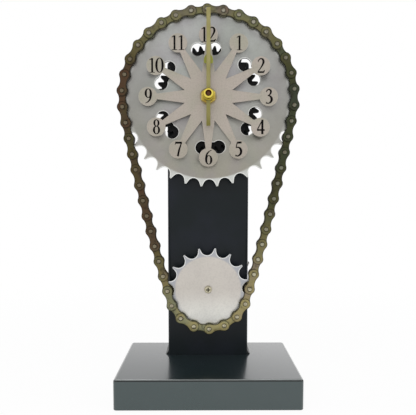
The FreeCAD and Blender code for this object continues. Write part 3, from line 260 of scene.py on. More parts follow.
def tray_rings(half_x, half_y, radius, profile, steps=8, least=0.4):
    """A rounded rectangle for each (inset, height) of the profile: every corner's quarter turn runs
    about its own centre."""
    angle = (np.arange(4)[:, None] * np.pi / 2 + np.linspace(0, np.pi / 2, steps)).ravel()
    turn = np.stack([np.cos(angle), np.sin(angle)], 1)
    side = np.repeat([[1, 1], [-1, 1], [-1, -1], [1, -1]], steps, axis=0)
    rings = []
    for inset, height in profile:
        bent = max(radius - inset, least)
        centres = side * (np.array([half_x, half_y]) - inset - bent)
        rings.append(np.insert(centres + bent * turn, 2, height, axis=1))
    return np.array(rings)


def rounded_edge(radius, steps):
    """How far in and how far down the points of a quarter turn lie, from the face to the side."""
    angle = np.linspace(0, np.pi / 2, steps)
    return radius * (1 - np.sin(angle)), radius * (1 - np.cos(angle))


foot_z, top_z = extent("base_tray")[:, 2]
half_x, half_y, _ = extent("base_tray")[1]
sheet, bend, corner, hem = 1.5, 1.9, 2.6, 0.3
outer_in, outer_down = rounded_edge(bend, 7)
inner_in, inner_down = rounded_edge(bend - sheet, 7)
tray_profile = np.concatenate([
    np.column_stack([outer_in, top_z - outer_down]),
    [(0, foot_z + hem), (hem, foot_z), (sheet - hem, foot_z), (sheet, foot_z + hem)],
    np.column_stack([sheet + inner_in, top_z - sheet - inner_down])[::-1]])
# The upper strips of the outer bend carry a painted highlight, the next ones a painted dark line.
strip_rims = np.zeros(len(tray_profile) - 1)
strip_rims[1:5] = 1, 1, 0.5, 0.5
tray_skin = tray_rings(half_x, half_y, corner, tray_profile)
tray = Piece("base_tray").rings(tray_skin, np.append(np.repeat(strip_rims, tray_skin.shape[1]), [0, 0]))
lip_width, lip_corner = 12.0, 1.2
lip = tray_rings(half_x - sheet - corner, lip_width / 2, lip_corner, [
    (hem, foot_z), (0, foot_z + hem), (0, foot_z + sheet - hem), (hem, foot_z + sheet)])
for side in (-1, 1):
    tray.rings(lip + (0, side * (half_y - sheet - lip_width / 2), 0))
# The darker colour given to the tray's top face is painted shade.
tray.build("tray", "base_paint", powder_coat(
    "tray_coat", (25, 51, 51), (36, 55, 56), gloss=0.24, reflect=1.6, glaze=0.92, top=(top_z, (26, 38, 41))))

# Felt pads
# Four round pads of pressed black felt, stuck on the tray's lips near its corners. Their rims
# are soft, and their fibres catch the light a little.


def lathe(profile, z=0.0, steps=48):
    """Profile of (radius, depth) points turned about the Y axis at height z: a ring for each point."""
    angle = np.linspace(0, 2 * np.pi, steps, endpoint=False)
    radius, depth = np.asarray(profile, float).T
    return np.stack([radius[:, None] * np.sin(angle), np.repeat(depth[:, None], steps, 1),
                     z + radius[:, None] * np.cos(angle)], -1)


def felt_finish():
    n = finish("felt")
    fibre = n.noise(2600, 4)
    return n.surface(n.mix(fibre, (18, 18, 19), (46, 46, 48)), 0.95, fibre, 0.15, Sheen_Weight=0.3)


pad_low, pad_high = extent("felt_pads")
pad_radius, pad_soft = 4.6, 0.25
pad = lathe([(pad_radius - pad_soft, pad_low[2]), (pad_radius, pad_low[2] + pad_soft),
             (pad_radius, pad_high[2] - pad_soft / 2), (pad_radius - pad_soft / 2, pad_high[2])])
pads = Piece("felt_pads")
for x in (pad_low[0] + pad_radius, pad_high[0] - pad_radius):
    for y in (pad_low[1] + pad_radius, pad_high[1] - pad_radius):
        pads.rings(pad[..., [0, 2, 1]] + (x, y, 0))
pads.build("pads", "felt", felt_finish())

# Post
# One U-shaped channel of black powder-coated sheet, open at the back, with rounded upper
# corners. Two painted weld beads hold it on the tray.


def smoothed(node, name, material, edge=0.0, turn=34):
    """The CAD node's own shape, its triangles merged into whole faces and its sharp edges eased by so
    many millimetres."""
    source = frame["nodes"][node]
    work = bmesh.new()
    work.from_mesh(source.data)
    bmesh.ops.remove_doubles(work, verts=work.verts, dist=2e-6)
    bmesh.ops.dissolve_limit(work, angle_limit=math.radians(1), verts=work.verts, edges=work.edges)
    mesh = bpy.data.meshes.new(name)
    work.to_mesh(mesh)
    work.free()
    for layer in ("custom_normal", "sharp_edge"):
        if layer in mesh.attributes:
            mesh.attributes.remove(mesh.attributes[layer])
    piece = dressed(name, mesh, source["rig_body"], [node], [material], turn)
    if edge:
        eased = piece.modifiers.new("eased", "BEVEL")
        eased.width, eased.segments, eased.limit_method = edge / 1000, 2, "ANGLE"
        eased.angle_limit = math.radians(turn)
    piece.modifiers.new("even", "WEIGHTED_NORMAL").keep_sharp = True


def weld_finish():
    """Painted bead: ripples along its run, a little glossier on their crests."""
    n = finish("weld_coat")
    ripple = n.add("TexWave", {"wave_type": "BANDS", "bands_direction": "Y"},
                   {"Vector": n.place(), "Scale": 180, "Distortion": 1.5, "Detail": 1})
    return n.surface(n.mix(ripple, (14, 17, 18), (30, 33, 35)), 0.36 - ripple * 0.1, ripple, 0.18)


post_coat = powder_coat("post_coat", (6, 17, 21), (24, 28, 40), gloss=0.27, reflect=1.34)
smoothed("post_channel", "post", post_coat, 0.22)
smoothed("post_welds", "weld_beads", weld_finish(), 0.3)

# Hub sleeve
# A turned steel tube with a flange on the post. It stands still, carries the large wheel and
# spaces the dial from the post.


def turned_metal(name, colour, worn, gloss, rings_per_metre):
    """Lathe-turned metal: fine rings round the Y axis, and faint stains in the colour."""
    n = finish(name)
    stains, grain = n.noise(160, 3), n.noise(rings_per_metre, 1, (0.15, 1, 0.15))
    return n.surface(n.mix(stains.above(0.35, 0.75), colour, worn), gloss + stains * 0.12 + grain * 0.06,
                     grain, 0.01, Metallic=1.0)


def cylinders(bore, *parts):
    """Profile of a bored part made of cylinders. Each has a radius, a front, a back, and how far in
    and how deep its front rim and its back rim are eased."""
    profile = [(bore, parts[0][1])]
    for radius, front, back, (front_in, front_deep), (back_in, back_deep) in parts:
        profile += [(radius - front_in, front), (radius, front + front_deep),
                    (radius, back - back_deep), (radius - back_in, back)]
    return list(dict.fromkeys([*profile, (bore, parts[-1][2])]))


def closed(profile):
    """A profile whose last point meets its first, for a piece with a hole through it."""
    return [*profile, profile[0]]


def bored(piece, profile, z, steps=48):
    """Adds a turned ring with a hole: one closed skin without ends."""
    skin = lathe(closed(profile), z, steps)
    return piece.patch(skin, grid_faces(len(skin), steps))


steel = turned_metal("turned_steel", (150, 150, 148), (122, 120, 116), 0.24, 5000)
hub_z = extent("hub_sleeve")[:, 2].mean()
front, back = extent("hub_sleeve")[:, 1]
sharp, soft = (0, 0), (0.3, 0.3)
flange_radius, body_radius, spigot_radius, neck_hole = extent("hub_sleeve")[1, 0], 8.0, 7.0, 3.95
flange_thick, spigot_long = 1.5, 1.5
spigot_y = back - spigot_long
flange_y = spigot_y - flange_thick
sleeve_parts = [(body_radius, front, flange_y, soft, sharp), (flange_radius, flange_y, spigot_y, soft, sharp),
                (spigot_radius, spigot_y, back, sharp, sharp)]
bored(Piece("hub_sleeve"), cylinders(neck_hole, *sleeve_parts), hub_z).build("sleeve", "sleeve_steel", steel)

# Drive gear
# Black gear on the back of the large wheel, machined from sheet plastic. Its involute teeth
# show through the wheel's slots and meet the pinion of the gearmotor.


def black_plastic(name, colour, gloss, reflect=1.46):
    """Black plastic: a fine matt texture with broad faint scuffs."""
    n = finish(name)
    grain, scuffs = n.noise(2200, 3), n.noise(120, 4)
    colour = n.mix(scuffs.above(0.45, 0.8) * 0.4, colour, (44, 44, 46))
    return n.surface(colour, gloss + grain * 0.1, grain, 0.02, IOR=reflect)


def rotated(points, degrees):
    """Points (x, z) turned clockwise about the origin, as a dial angle runs."""
    angle = np.radians(degrees)
    x, z = points[..., 0], points[..., 1]
    return np.stack([x * np.cos(angle) + z * np.sin(angle), z * np.cos(angle) - x * np.sin(angle)], -1)


def repeated(shape, copies, first=0.0):
    """Loop of a shape's copies, spaced evenly round the origin from the first dial angle."""
    steps = first + 360 * np.arange(copies)[:, None] / copies
    return rotated(shape[None], steps).reshape(-1, 2)[::-1]


def involute(angle):
    return np.tan(angle) - angle


def gear_loop(teeth, module, thinning, first):
    """Involute teeth: half the tooth's angle at a radius is its value at the pitch circle plus the
    difference of the involutes there, so both flanks of all the teeth come from one array."""
    pressure, pitch = np.radians(25), module * teeth / 2
    base, root, tip = pitch * np.cos(pressure), pitch - 1.25 * module, pitch + 0.9 * module
    start = max(base, root)
    contact = start + (tip - start) * np.array([0, 0.2, 0.45, 0.75, 1])
    half = (np.pi / 2 / teeth - thinning / 2 / pitch + involute(pressure)
            - involute(np.arccos(np.minimum(1, base / contact))))
    radius = np.concatenate([[root], contact, contact[::-1], [root]])
    angle = np.concatenate([[-half[0]], -half, half[::-1], [half[0]]])
    return repeated(np.stack([radius * np.sin(angle), radius * np.cos(angle)], -1), teeth, first)


def inset(loop, width):
    """Loop moved to its left along the mitre of the two edges at each point, by one width or one each."""
    before, after = loop - np.roll(loop, 1, 0), np.roll(loop, -1, 0) - loop
    normals = [np.stack([-run[:, 1], run[:, 0]], 1) / np.maximum(np.linalg.norm(run, axis=1), 1e-9)[:, None]
               for run in (before, after)]
    mitre = (normals[0] + normals[1]) / np.maximum(1 + (normals[0] * normals[1]).sum(1), 0.4)[:, None]
    return loop + np.reshape(width, (-1, 1)) * mitre


def filled(loops):
    """Triangles between an outline and its holes. One that lies outside the outline or in a hole has
    all its corners on one loop and, taken in the loop's order, runs clockwise."""
    starts = np.cumsum([0] + [len(loop) for loop in loops])
    edges = [(start + k, start + (k + 1) % len(loop)) for start, loop in zip(starts, loops)
             for k in range(len(loop))]
    found = delaunay_2d_cdt([Vector(p) for p in np.concatenate(loops)], edges, [], 0, 1e-7)
    flat, triangles = np.array([v[:] for v in found[0]]), np.sort(found[2], axis=1)
    owner = np.searchsorted(starts, triangles, side="right")
    (ax, az), (bx, bz), (cx, cz) = flat[triangles].transpose(1, 2, 0)
    clockwise = (bx - ax) * (cz - az) < (bz - az) * (cx - ax)
    return flat, triangles[~(clockwise & (owner == owner[:, :1]).all(1))]


def plate(loops, front, back, edge, z=0.0, widths=None):
    """Sheet cut along its loops, outline anticlockwise and holes clockwise: every loop gives four
    rings, and the flat faces are filled between the inset loops. The bevels are as deep as the edge
    and as wide, or as wide as each loop's own widths."""
    points, faces, rims, start = [], [], [], 0
    eased = [inset(loop, width) for loop, width in zip(loops, widths or [edge] * len(loops))]
    for loop, inner in zip(loops, eased):
        count = len(loop)
        for ring, y in ((inner, front), (loop, front + edge), (loop, back - edge), (inner, back)):
            points.append(np.insert(ring + (0, z), 1, y, axis=1))
        faces += [[corner + start for corner in face] for face in grid_faces(4, count)]
        rims += [1.0] * count + [0.0] * count + [1.0] * count
        start += 4 * count
    flat, triangles = filled(eased)
    for y in (front, back):
        points.append(np.insert(flat + (0, z), 1, y, axis=1))
        faces += (triangles + start).tolist()
        rims += [0.0] * len(triangles)
        start += len(flat)
    return np.concatenate(points), faces, rims


def cut_sheet(node, loops, edge, z, widths=None, body="frame"):
    """Piece cut from sheet between the front and the back of its CAD node."""
    return Piece(node, body=body).patch(*plate(loops, *extent(node)[:, 1], edge, z, widths))


def circle(radius, steps, hole=False, x=0.0):
    angle = np.linspace(0, 2 * np.pi, steps, endpoint=False) * (-1 if hole else 1)
    return np.stack([x + radius * np.cos(angle), radius * np.sin(angle)], -1)


gear_bore, drive_turn = 11.05, -0.7
gear_loops = [gear_loop(teeth=45, module=1.8, thinning=0.16, first=drive_turn), circle(gear_bore, 48, True)]
gear_black = black_plastic("gear_black", (9, 10, 9), 0.5, 1.25)
cut_sheet("drive_gear", gear_loops, edge=0.18, z=hub_z, body="chain_wheel").build(
    "gear", "gear_black", gear_black)

# Hub bush
# Black-oxide bush with a flange on the front of the large wheel. Three cap screws through the
# flange clamp the wheel and its gear together, hidden by the dial.
front, back = extent("hub_bush")[:, 1]
wheel_front = extent("large_sprocket")[0, 1]
bush_radius, bush_bore, rim_radius, rim_thick = 11.0, 8.05, extent("hub_bush")[1, 0], 2.0
rim_front = wheel_front - rim_thick
oxide = turned_metal("black_oxide", (46, 45, 46), (34, 33, 33), 0.38, 4000)
bush_parts = [(bush_radius, front, rim_front, soft, sharp), (rim_radius, rim_front, wheel_front, soft, sharp),
              (bush_radius, wheel_front, back, sharp, soft)]
bored(Piece("hub_bush", body="chain_wheel"), cylinders(bush_bore, *bush_parts), hub_z, 64).build(
    "bush", "hub_black", oxide)
smoothed("hub_screws", "cap_screws", oxide, 0.1)

# Large wheel
# A 34-tooth sprocket cut from steel sheet, with six bone-shaped slots. Satin zinc plate with faint
# blotches. Painted light makes it cool grey above and warmer and darker towards the bottom, puts a
# bright line on every cut rim and a pale band on the teeth; painted shade darkens its flanks.


def zinc_plate(name, cool, warm, axis_z, fade, teeth, ring_colour, ring_shares, foot, blotch, blotchy):
    """Satin plate with a painted gradient of light: the warm colour at the first height of the fade and
    the cool one at the second. Painted shade makes it darker at the flanks. It has purple and green
    blotches, fine grain, and a painted highlight on the rims, which are also smoother. Another colour
    comes in between the two radii of the teeth, by one share above the foot's heights and by another
    below them. On the large wheel this is painted light, a pale band that offsets the chain's shade,
    strongest low down; on the small wheel it makes the upper teeth darker and bluer. Heights count
    from the axis, in millimetres."""
    n = finish(name)
    cloud, other, grain = n.noise(blotch, 4), n.noise(blotch * 0.7, 3, (1, 1, 1.3)), n.noise(820, 4)
    across, up = n.axis(0), n.axis(2) - axis_z
    # Painted light: a gradient by height from the warm colour to the cool one.
    colour = n.mix(up.above(*fade), warm, cool)
    colour = n.mix(cloud.above(0.42, 0.66) * blotchy, colour, (158, 148, 158))
    colour = n.mix(other.above(0.46, 0.68) * blotchy, colour, (144, 152, 138))
    colour = n.mix(grain.above(0.44, 0.64) * 0.08, colour, (118, 114, 110))
    # Painted shade on the left and right flanks, fading out low down.
    flank = across.maths("ABSOLUTE", across).above(30, 58) * up.above(-60, -10)
    colour = n.mix(flank * 0.42, colour, (128, 124, 116))
    # Colour on the teeth ring, by one share above the foot and another below: painted light on the large
    # wheel.
    low = 1 - up.above(*foot)
    ring_top, ring_low = ring_shares
    ring = n.from_axis(axis_z).above(*teeth) * (ring_top + low * (ring_low - ring_top))
    colour = n.mix(ring.maths("MAXIMUM", ring, 0), colour, ring_colour)
    # Painted highlight on the rims, a little stronger low down.
    colour = n.mix(n.rim() * (low * 0.15 + 0.8), colour, (240, 240, 236))
    return n.surface(colour, 0.34 + cloud * 0.1 - n.rim() * 0.14, grain, 0.003, Metallic=0.86)


large_teeth, small_teeth, link, roller_radius, root_gap = 34, 16, 12.7, 3.85, 0.55


def sprocket_loop(teeth, tip_height, first, seat_points=11):
    """One round root with its leaning flanks, repeated round the wheel from the first root's dial
    angle: the root's arc touches both flanks, which run straight to the tooth's narrow tip. The
    second result is the bevel's width at each point, wide in the root and narrow on the tip."""
    pitch = link / 2 / np.sin(np.pi / teeth)
    tip, root, tip_half, lean = pitch + tip_height, pitch - roller_radius - root_gap, 0.55, np.radians(27)
    mouth = np.pi / teeth - np.arcsin(tip_half / tip)
    mouth_x, mouth_r = tip * np.sin(mouth), tip * np.cos(mouth)
    seat = (mouth_x * np.cos(lean) - (mouth_r - root) * np.sin(lean)) / (1 - np.sin(lean))
    sweep = np.linspace(-np.pi / 2 + lean, np.pi / 2 - lean, seat_points)
    arc = np.stack([seat * np.sin(sweep), root + seat * (1 - np.cos(sweep))], -1)
    nose, half = tip + 0.05, np.pi / teeth
    tooth = np.concatenate([[(-mouth_x, mouth_r)], arc, [(mouth_x, mouth_r)],
                            [(nose * np.sin(half), nose * np.cos(half))]])
    on_tip, in_root = 0.28, 0.6
    widths = np.tile([on_tip, *np.full(seat_points, in_root), on_tip, on_tip], teeth)
    return repeated(tooth, teeth, first), widths[::-1]


def bone_loop(centre, lobe, offset, waist, degrees):
    """Slot of two round lobes joined by a waist, its middle at the centre's radius, run as a hole."""
    open_angle = np.arcsin(waist / 2 / lobe)
    sweep = np.linspace(open_angle, 2 * np.pi - open_angle, 21)
    right = np.stack([offset - lobe * np.cos(sweep), -lobe * np.sin(sweep)], -1)
    return rotated(np.concatenate([right, -right]) + (0, centre), degrees)[::-1]


rim_depth, slot_rim = 0.25, 0.45
slots = [bone_loop(centre=38.8, lobe=5.2, offset=6.8, waist=8.0, degrees=60 * k - 2.6) for k in range(6)]
teeth_loop, teeth_widths = sprocket_loop(large_teeth, 1.6, drive_turn)
cut_sheet("large_sprocket", [teeth_loop, circle(gear_bore, 48, True), *slots], rim_depth, hub_z,
          [teeth_widths, rim_depth, *[slot_rim] * 6], body="chain_wheel").build(
    "large_wheel", "sprocket_grey", zinc_plate(
        "large_wheel_zinc", cool=(181, 182, 179), warm=(162, 158, 146), axis_z=hub_z, fade=(-62, 20),
        teeth=(63, 64.8), ring_colour=(214, 216, 212), ring_shares=(0.25, 0.9), foot=(-61, -52),
        blotch=34, blotchy=0.34))

# Gearmotor
# A small brass-plated gearbox and a flat-sided motor can, held on the post by a white clamp with
# two screws. The shaft carries a black pinion through a hole in the post.


def plain_plastic(name, colour, darker, gloss):
    """Moulded plastic: an even colour with faint flow clouds and a fine matt texture."""
    n = finish(name)
    flow, grain = n.noise(90, 3), n.noise(3000, 2)
    return n.surface(n.mix(flow, colour, darker), gloss + grain * 0.1, grain, 0.015)


bright = turned_metal("plated_bright", (200, 198, 193), (172, 169, 163), 0.2, 3000)
brass = turned_metal("brass_plate", (214, 178, 92), (176, 140, 66), 0.22, 3000)
white_plastic = plain_plastic("white_plastic", (214, 213, 207), (198, 196, 188), 0.42)
smoothed("motor_gearbox", "gearbox", brass, 0.12)
smoothed("motor_can", "can", bright, 0.35)
smoothed("motor_terminals", "terminals", bright, 0.08)
smoothed("motor_clamp", "clamp", white_plastic, 0.3)
smoothed("clamp_screws", "clamp_bolts", oxide, 0.08)
smoothed("motor_shaft", "shaft", steel, 0.1)
smoothed("motor_pinion", "pinion", black_plastic("pinion_black", (19, 19, 21), 0.34), 0.14)

# Battery holder
# Black moulded holder with two finger-size cells side by side, on white foam tape. Plated
# contacts press on the cells' ends, and two of them have solder tags for the wires.


def cell_finishes(way, stretch):
    """Printed sleeves in dark grey and in bronze, with pale scuffs along the cell, and its bright ends."""
    sleeves = []
    for shade, colour in (("grey", (34, 36, 39)), ("bronze", (168, 112, 62))):
        n = finish(f"cell_{shade}_{way}")
        scuff = n.noise(700, 3, stretch)
        colour = n.mix(scuff.above(0.6, 0.8) * 0.2, colour, (120, 118, 114))
        sleeves.append(n.surface(colour, 0.24 + scuff * 0.08, Coat_Weight=0.4, Coat_Roughness=0.12))
    return *sleeves, bright


cell_radius = 7.1


def cell_skin(cell, middle, direction, length=49.2, cap_radius=2.75, cap=1.3):
    """Cell along a direction: grey to two thirds of its length with the cap, then bronze. The sleeve
    turns in over the rounded ends, and the steel ends and the cap are bare."""
    inwards, down = rounded_edge(0.65, 5)
    foot, inner = -(length + cap) / 2, cell_radius - inwards
    head, band = foot + length, foot + 0.6625 * (length + cap)
    skins = [np.column_stack([[*inner, cell_radius], [*(foot + down), band]]),
             np.column_stack([[cell_radius, *inner[::-1]], [band, *(head - down[::-1])]]),
             np.array([(0, foot), (inner[0], foot)]),
             np.array([(inner[0], head), (cap_radius, head), (cap_radius, head + cap - 0.3),
                       (cap_radius - 0.3, head + cap), (0, head + cap)])]
    side = np.array([0, 1.0, 0])
    angle = np.linspace(0, 2 * np.pi, 40, endpoint=False)[:, None]
    round_ring = np.cos(angle) * side + np.sin(angle) * np.cross(direction, side)
    for skin, coat in zip(skins, (0, 1, 2, 2)):
        turned = skin[:, :1, None] * round_ring + skin[:, 1:, None] * np.array(direction)
        cell.patch(turned + middle, grid_faces(len(skin), 40), 0.0, coat)
    return cell


cells = extent("battery_cells")
upright = cell_finishes("upright", (1, 1, 0.1))
for name, side, up in (("cell_left", -1, 1), ("cell_right", 1, -1)):
    place = (side * (cells[1, 0] - cell_radius), *cells[:, 1:].mean(0))
    cell_skin(Piece("battery_cells"), place, (0, 0, up)).build(name, "cell_sleeve", *upright)
holder_black = black_plastic("holder_black", (20, 20, 21), 0.42)
foam = plain_plastic("foam", (225, 224, 218), (208, 206, 198), 0.8)
smoothed("battery_holder", "holder", holder_black, 0.2)
smoothed("foam_tape", "tape", foam, 0.15)
smoothed("holder_contacts", "contacts", bright, 0.06)

# Slide switch and wires
# A small black switch screwed behind a slot in the right side of the post. Red and black wires,
# soldered at both ends, run inside the post from the cells to the switch and the motor.
switch_black = black_plastic("switch_black", (22, 22, 23), 0.3)
lever_black = black_plastic("lever_black", (28, 28, 29), 0.36)
red_wire = plain_plastic("red_wire", (178, 26, 22), (150, 20, 18), 0.3)
black_wire = plain_plastic("black_wire", (20, 20, 20), (32, 32, 32), 0.3)
smoothed("switch_body", "switch_case", switch_black, 0.15)
smoothed("switch_tabs", "switch_pins", bright, 0.06)
smoothed("switch_slider", "switch_lever_cap", lever_black, 0.18)
smoothed("switch_screws", "switch_bolts", bright, 0.08)
smoothed("wire_supply", "supply_wire", red_wire, turn=50)
smoothed("wire_motor", "motor_wire", red_wire, turn=50)
smoothed("wire_return", "return_wire", black_wire, turn=50)

# Small wheel
# A 16-tooth sprocket of bright zinc-plated steel that runs on a shoulder screw. Behind it are a
# spacer, and inside the post a washer and a nut.
front, back = extent("idler_spacer")[:, 1]
idler_z = extent("idler_spacer")[:, 2].mean()
ratio, wheel_bore, spacer_radius, spacer_bore = large_teeth / small_teeth, 2.05, 5.0, 1.55
teeth_loop, teeth_widths = sprocket_loop(small_teeth, 1.8, drive_turn * ratio, 13)
cut_sheet("small_sprocket", [teeth_loop, circle(wheel_bore, 24, True)], rim_depth, idler_z,
          [teeth_widths, rim_depth], body="idler_wheel").build(
    "small_wheel", "sprocket_silver", zinc_plate(
        "small_wheel_zinc", cool=(208, 202, 194), warm=(246, 245, 238), axis_z=idler_z, fade=(-28, 2),
        teeth=(26, 28.2), ring_colour=(168, 172, 180), ring_shares=(0.8, -0.5), foot=(-50, 0),
        blotch=60, blotchy=0.06))
bored(Piece("idler_spacer"), cylinders(spacer_bore, (spacer_radius, front, back, soft, soft)), idler_z).build(
    "spacer", "sleeve_steel", steel)


def recessed_metal(front):
    """Pale plated screw, dark inside its cross recess: dark where the surface lies deeper than the
    head's rounded front and nearer the axis than the recess is long."""
    n = finish("screw_silver")
    stains = n.noise(700, 3)
    deep, inside = n.axis(1).above(front + 0.1, front + 0.6), 1 - n.from_axis(idler_z).above(1.7, 2.0)
    colour = n.mix(stains, (216, 210, 188), (186, 178, 148))
    colour = n.mix(deep * inside * 0.9, colour, (52, 48, 36))
    return n.surface(colour, 0.42 + stains * 0.1, Metallic=0.8)


screw_silver = recessed_metal(extent("idler_screw")[0, 1])
smoothed("idler_screw", "shoulder_screw", screw_silver, 0.12)
smoothed("idler_washer", "back_washer", bright, 0.08)
smoothed("idler_nut", "back_nut", bright, 0.12)

# Chain
# Half-inch roller chain in one closed loop of fifty links. Waisted plates in worn antique bronze,
# olive and brown by turns, with painted shade on their edges; riveted pins with paler heads; rollers
# between them. Painted light makes the chain paler round the small wheel and at the top.


def chain_shade(n, left, right, foot, top):
    """Painted light by the place on the loop: one colour for each side, paler round the small wheel
    and at the top.
    """
    across, up = n.axis(0), n.axis(2)
    colour = n.mix(across.above(-20, 50), left, right)
    colour = n.mix(1 - (up - across * 0.35).above(45, 150), colour, foot)
    return n.mix(up.above(258, 300), colour, top)


def bronze(name, dark_rims=0.0):
    """Worn bronze: each link has its own tarnish, from red-brown through olive to green-grey, with
    stains that run over it, painted shade on the rims and fine pits. Its colour by the place on the
    loop is painted light."""
    n = finish(name)
    patches, stains, pits = n.noise(95, 3), n.noise(330, 4), n.noise(1500, 3)
    tarnish = n.add("Attribute", {"attribute_name": "tint"}, out="Fac") * 0.6 + patches * 0.75 - 0.15
    tint = n.add("ValToRGB", {"stops": [
        (0.15, (1.0, 0.64, 0.62, 1)), (0.34, (0.86, 0.76, 0.72, 1)), (0.52, (1.0, 0.93, 0.52, 1)),
        (0.7, (0.76, 0.84, 0.62, 1)), (0.9, (0.68, 0.8, 0.78, 1))]}, {0: tarnish})
    # Painted light: a colour for each part of the loop.
    colour = chain_shade(n, (83, 75, 55), (70, 72, 56), (162, 155, 134), (122, 121, 104))
    colour = n.mix(0.9, colour, tint, "MULTIPLY")
    colour = n.mix(stains.above(0.52, 0.7) * 0.5, colour, (44, 38, 28))
    # Painted shade on the rims.
    colour = n.mix(n.rim() * dark_rims, colour, (30, 27, 18))
    return n.surface(colour, 0.34 + stains * 0.22, pits, 0.02, Metallic=0.8)


def pin_metal():
    """Riveted steel: dull beige heads with painted light, paler low on the loop and at its top, and
    painted shade round the rim.
    """
    n = finish("pin_steel")
    stains = n.noise(500, 3)
    # Painted light: a colour for each part of the loop.
    colour = chain_shade(n, (117, 108, 89), (122, 123, 107), (206, 200, 172), (161, 157, 141))
    colour = n.mix(stains.above(0.4, 0.62) * 0.5, colour, (104, 90, 70))
    # Painted shade round the rims of the heads.
    return n.surface(n.mix(n.rim() * 0.85, colour, (40, 34, 24)), 0.3 + stains * 0.12, Metallic=0.9)


def pin_circle(teeth, degrees, height):
    """Pins on a wheel's pitch circle at dial angles, as (x, z)."""
    radius, angle = link / 2 / np.sin(np.pi / teeth), np.radians(degrees)
    return np.stack([radius * np.sin(angle), height + radius * np.cos(angle)], -1)


def free_run(start, end, links=12):
    """Pins of a run that bows outwards: each link is turned from the last by the same small angle, and
    n links then span n pitches times 1 - (n * n - 1) * angle * angle / 24."""
    length = np.hypot(*(end - start))
    turn = np.sqrt(24 * (1 - length / links / link) / (links ** 2 - 1))
    ahead = (end - start) / length
    lean = turn * ((links - 1) / 2 - np.arange(links - 1))[:, None]
    return start + np.cumsum(link * (np.cos(lean) * ahead + np.sin(lean) * (-ahead[1], ahead[0])), 0)


upper = pin_circle(large_teeth, drive_turn + 360 * np.arange(-10, 11) / large_teeth, hub_z)
lower_angles = drive_turn * ratio + 180 - 360 * np.arange(3, -4, -1) / small_teeth
lower = pin_circle(small_teeth, lower_angles, idler_z)
pins = np.concatenate([
    upper[10:], free_run(upper[-1], lower[0]), lower, free_run(lower[-1], upper[0]), upper[:10]])
steps_on = np.roll(pins, -1, 0) - pins
heading = np.arctan2(steps_on[:, 1], steps_on[:, 0])
every, even, odd = np.arange(50), np.arange(0, 50, 2), np.arange(1, 50, 2)
tarnish_links = [0, 4, 8, 14, 20, 26, 30, 34, 38, 42, 46, 50]
tarnish_values = [0.4, 0.7, 0.9, 0.4, 0.25, 0.75, 0.5, 0.0, 0.4, 0.0, 0.6, 0.4]
tarnishes = np.interp(every, tarnish_links, tarnish_values) + np.random.default_rng(11).uniform(-0.2, 0.2, 50)
chain_y = extent("chain_pins")[:, 1].mean()


def link_loop(waist=2.65, end=4.3):
    """Link plate from one pin at the origin to the next: two round ends and a hollow on each side."""
    half = link / 2
    hollow = (half ** 2 + waist ** 2 - end ** 2) / (2 * (end - waist))
    meet = np.arctan2(waist + hollow, half)
    around, dip = np.linspace(meet, 2 * np.pi - meet, 17), np.linspace(meet - np.pi, -meet, 9)[1:-1]
    left = end * np.stack([np.cos(around), np.sin(around)], -1)
    under = np.stack([half + hollow * np.cos(dip), waist + hollow + hollow * np.sin(dip)], -1)
    return np.concatenate([left, under * (1, -1), (link, 0) - left, under[::-1]])


def along_chain(piece, points, faces, rims, which):
    """Copies of a link part, each turned to its heading and moved to its pin, with its own tarnish."""
    x, y, z = np.asarray(points).reshape(-1, 3).T
    cos, sin = np.cos(heading[which])[:, None], np.sin(heading[which])[:, None]
    placed = np.stack([pins[which, :1] + x * cos - z * sin, np.broadcast_to(y, (len(which), len(y))),
                       pins[which, 1:] + x * sin + z * cos], -1)
    for copy, tint in zip(placed, tarnishes[which]):
        piece.patch(copy, faces, rims, 0, tint)
    return piece


def link_plates(node, which, near, hole, thick=1.0):
    """Front and back plates of some links, with two holes. The painted shade on the rims is fainter
    round the holes.
    """
    piece, outline, edge, wide_edge = Piece(node), link_loop(), 0.2, 0.42
    loops = [outline, circle(hole, 14, True), circle(hole, 14, True, link)]
    for front in (chain_y - near - thick, chain_y + near):
        points, faces, rims = plate(loops, front, front + thick, edge, 0, [wide_edge, edge, edge])
        rims = np.array(rims)
        # Fainter painted shade on the rims of the holes.
        rims[3 * len(outline):] *= 0.4
        along_chain(piece, points, faces, rims, which)
    return piece


def turned_links(node, half, reach, steps, rims=None):
    """A turned part at every pin, half of its profile given as (radius, depth in its end). One without
    rims is hollow."""
    half = np.array(half)
    profile = [*half + (0, chain_y - reach), *(half * (1, -1) + (0, chain_y + reach))[::-1]]
    skin = lathe(profile if rims else closed(profile), 0, steps)
    rims = np.repeat(rims, steps) if rims else 0.0
    return along_chain(Piece(node), skin, grid_faces(len(skin), steps), rims, every)


# The plates' rims get painted shade.
plate_bronze = bronze("chain_bronze", dark_rims=0.8)
for name, which, near, hole in (("outer_plates", even, 2.7, 1.85), ("inner_plates", odd, 1.6, 2.55)):
    link_plates(f"chain_{name}", which, near, hole).build(name, "chain_plate", plate_bronze)
rivet_half = [(0, 0), (0.9, 0.02), (1.45, 0.16), (1.62, 0.3), (1.8, 0.55)]
# Rims of the heads' rounded edges, for their painted shade.
rivet_rims = [0, 0, 0.3, 0.7, 0, 0.7, 0.3, 0, 0]
roller_half = [(2.55, 0), (roller_radius - 0.2, 0), (roller_radius, 0.2)]
turned_links("chain_pins", rivet_half, reach=4.5, steps=16, rims=rivet_rims).build(
    "rivets", "chain_pin", pin_metal())
turned_links("chain_rollers", roller_half, reach=1.5, steps=20).build(
    "rollers", "chain_roller", bronze("roller_bronze"))
smoothed("chain_bushes", "bushes", bronze("bush_bronze"))

# Clock movement
# A black moulded case inside the top of the post, with a rubber gasket, a brass neck through the
# hub, a finger-size cell below and a white setting knob at the back.


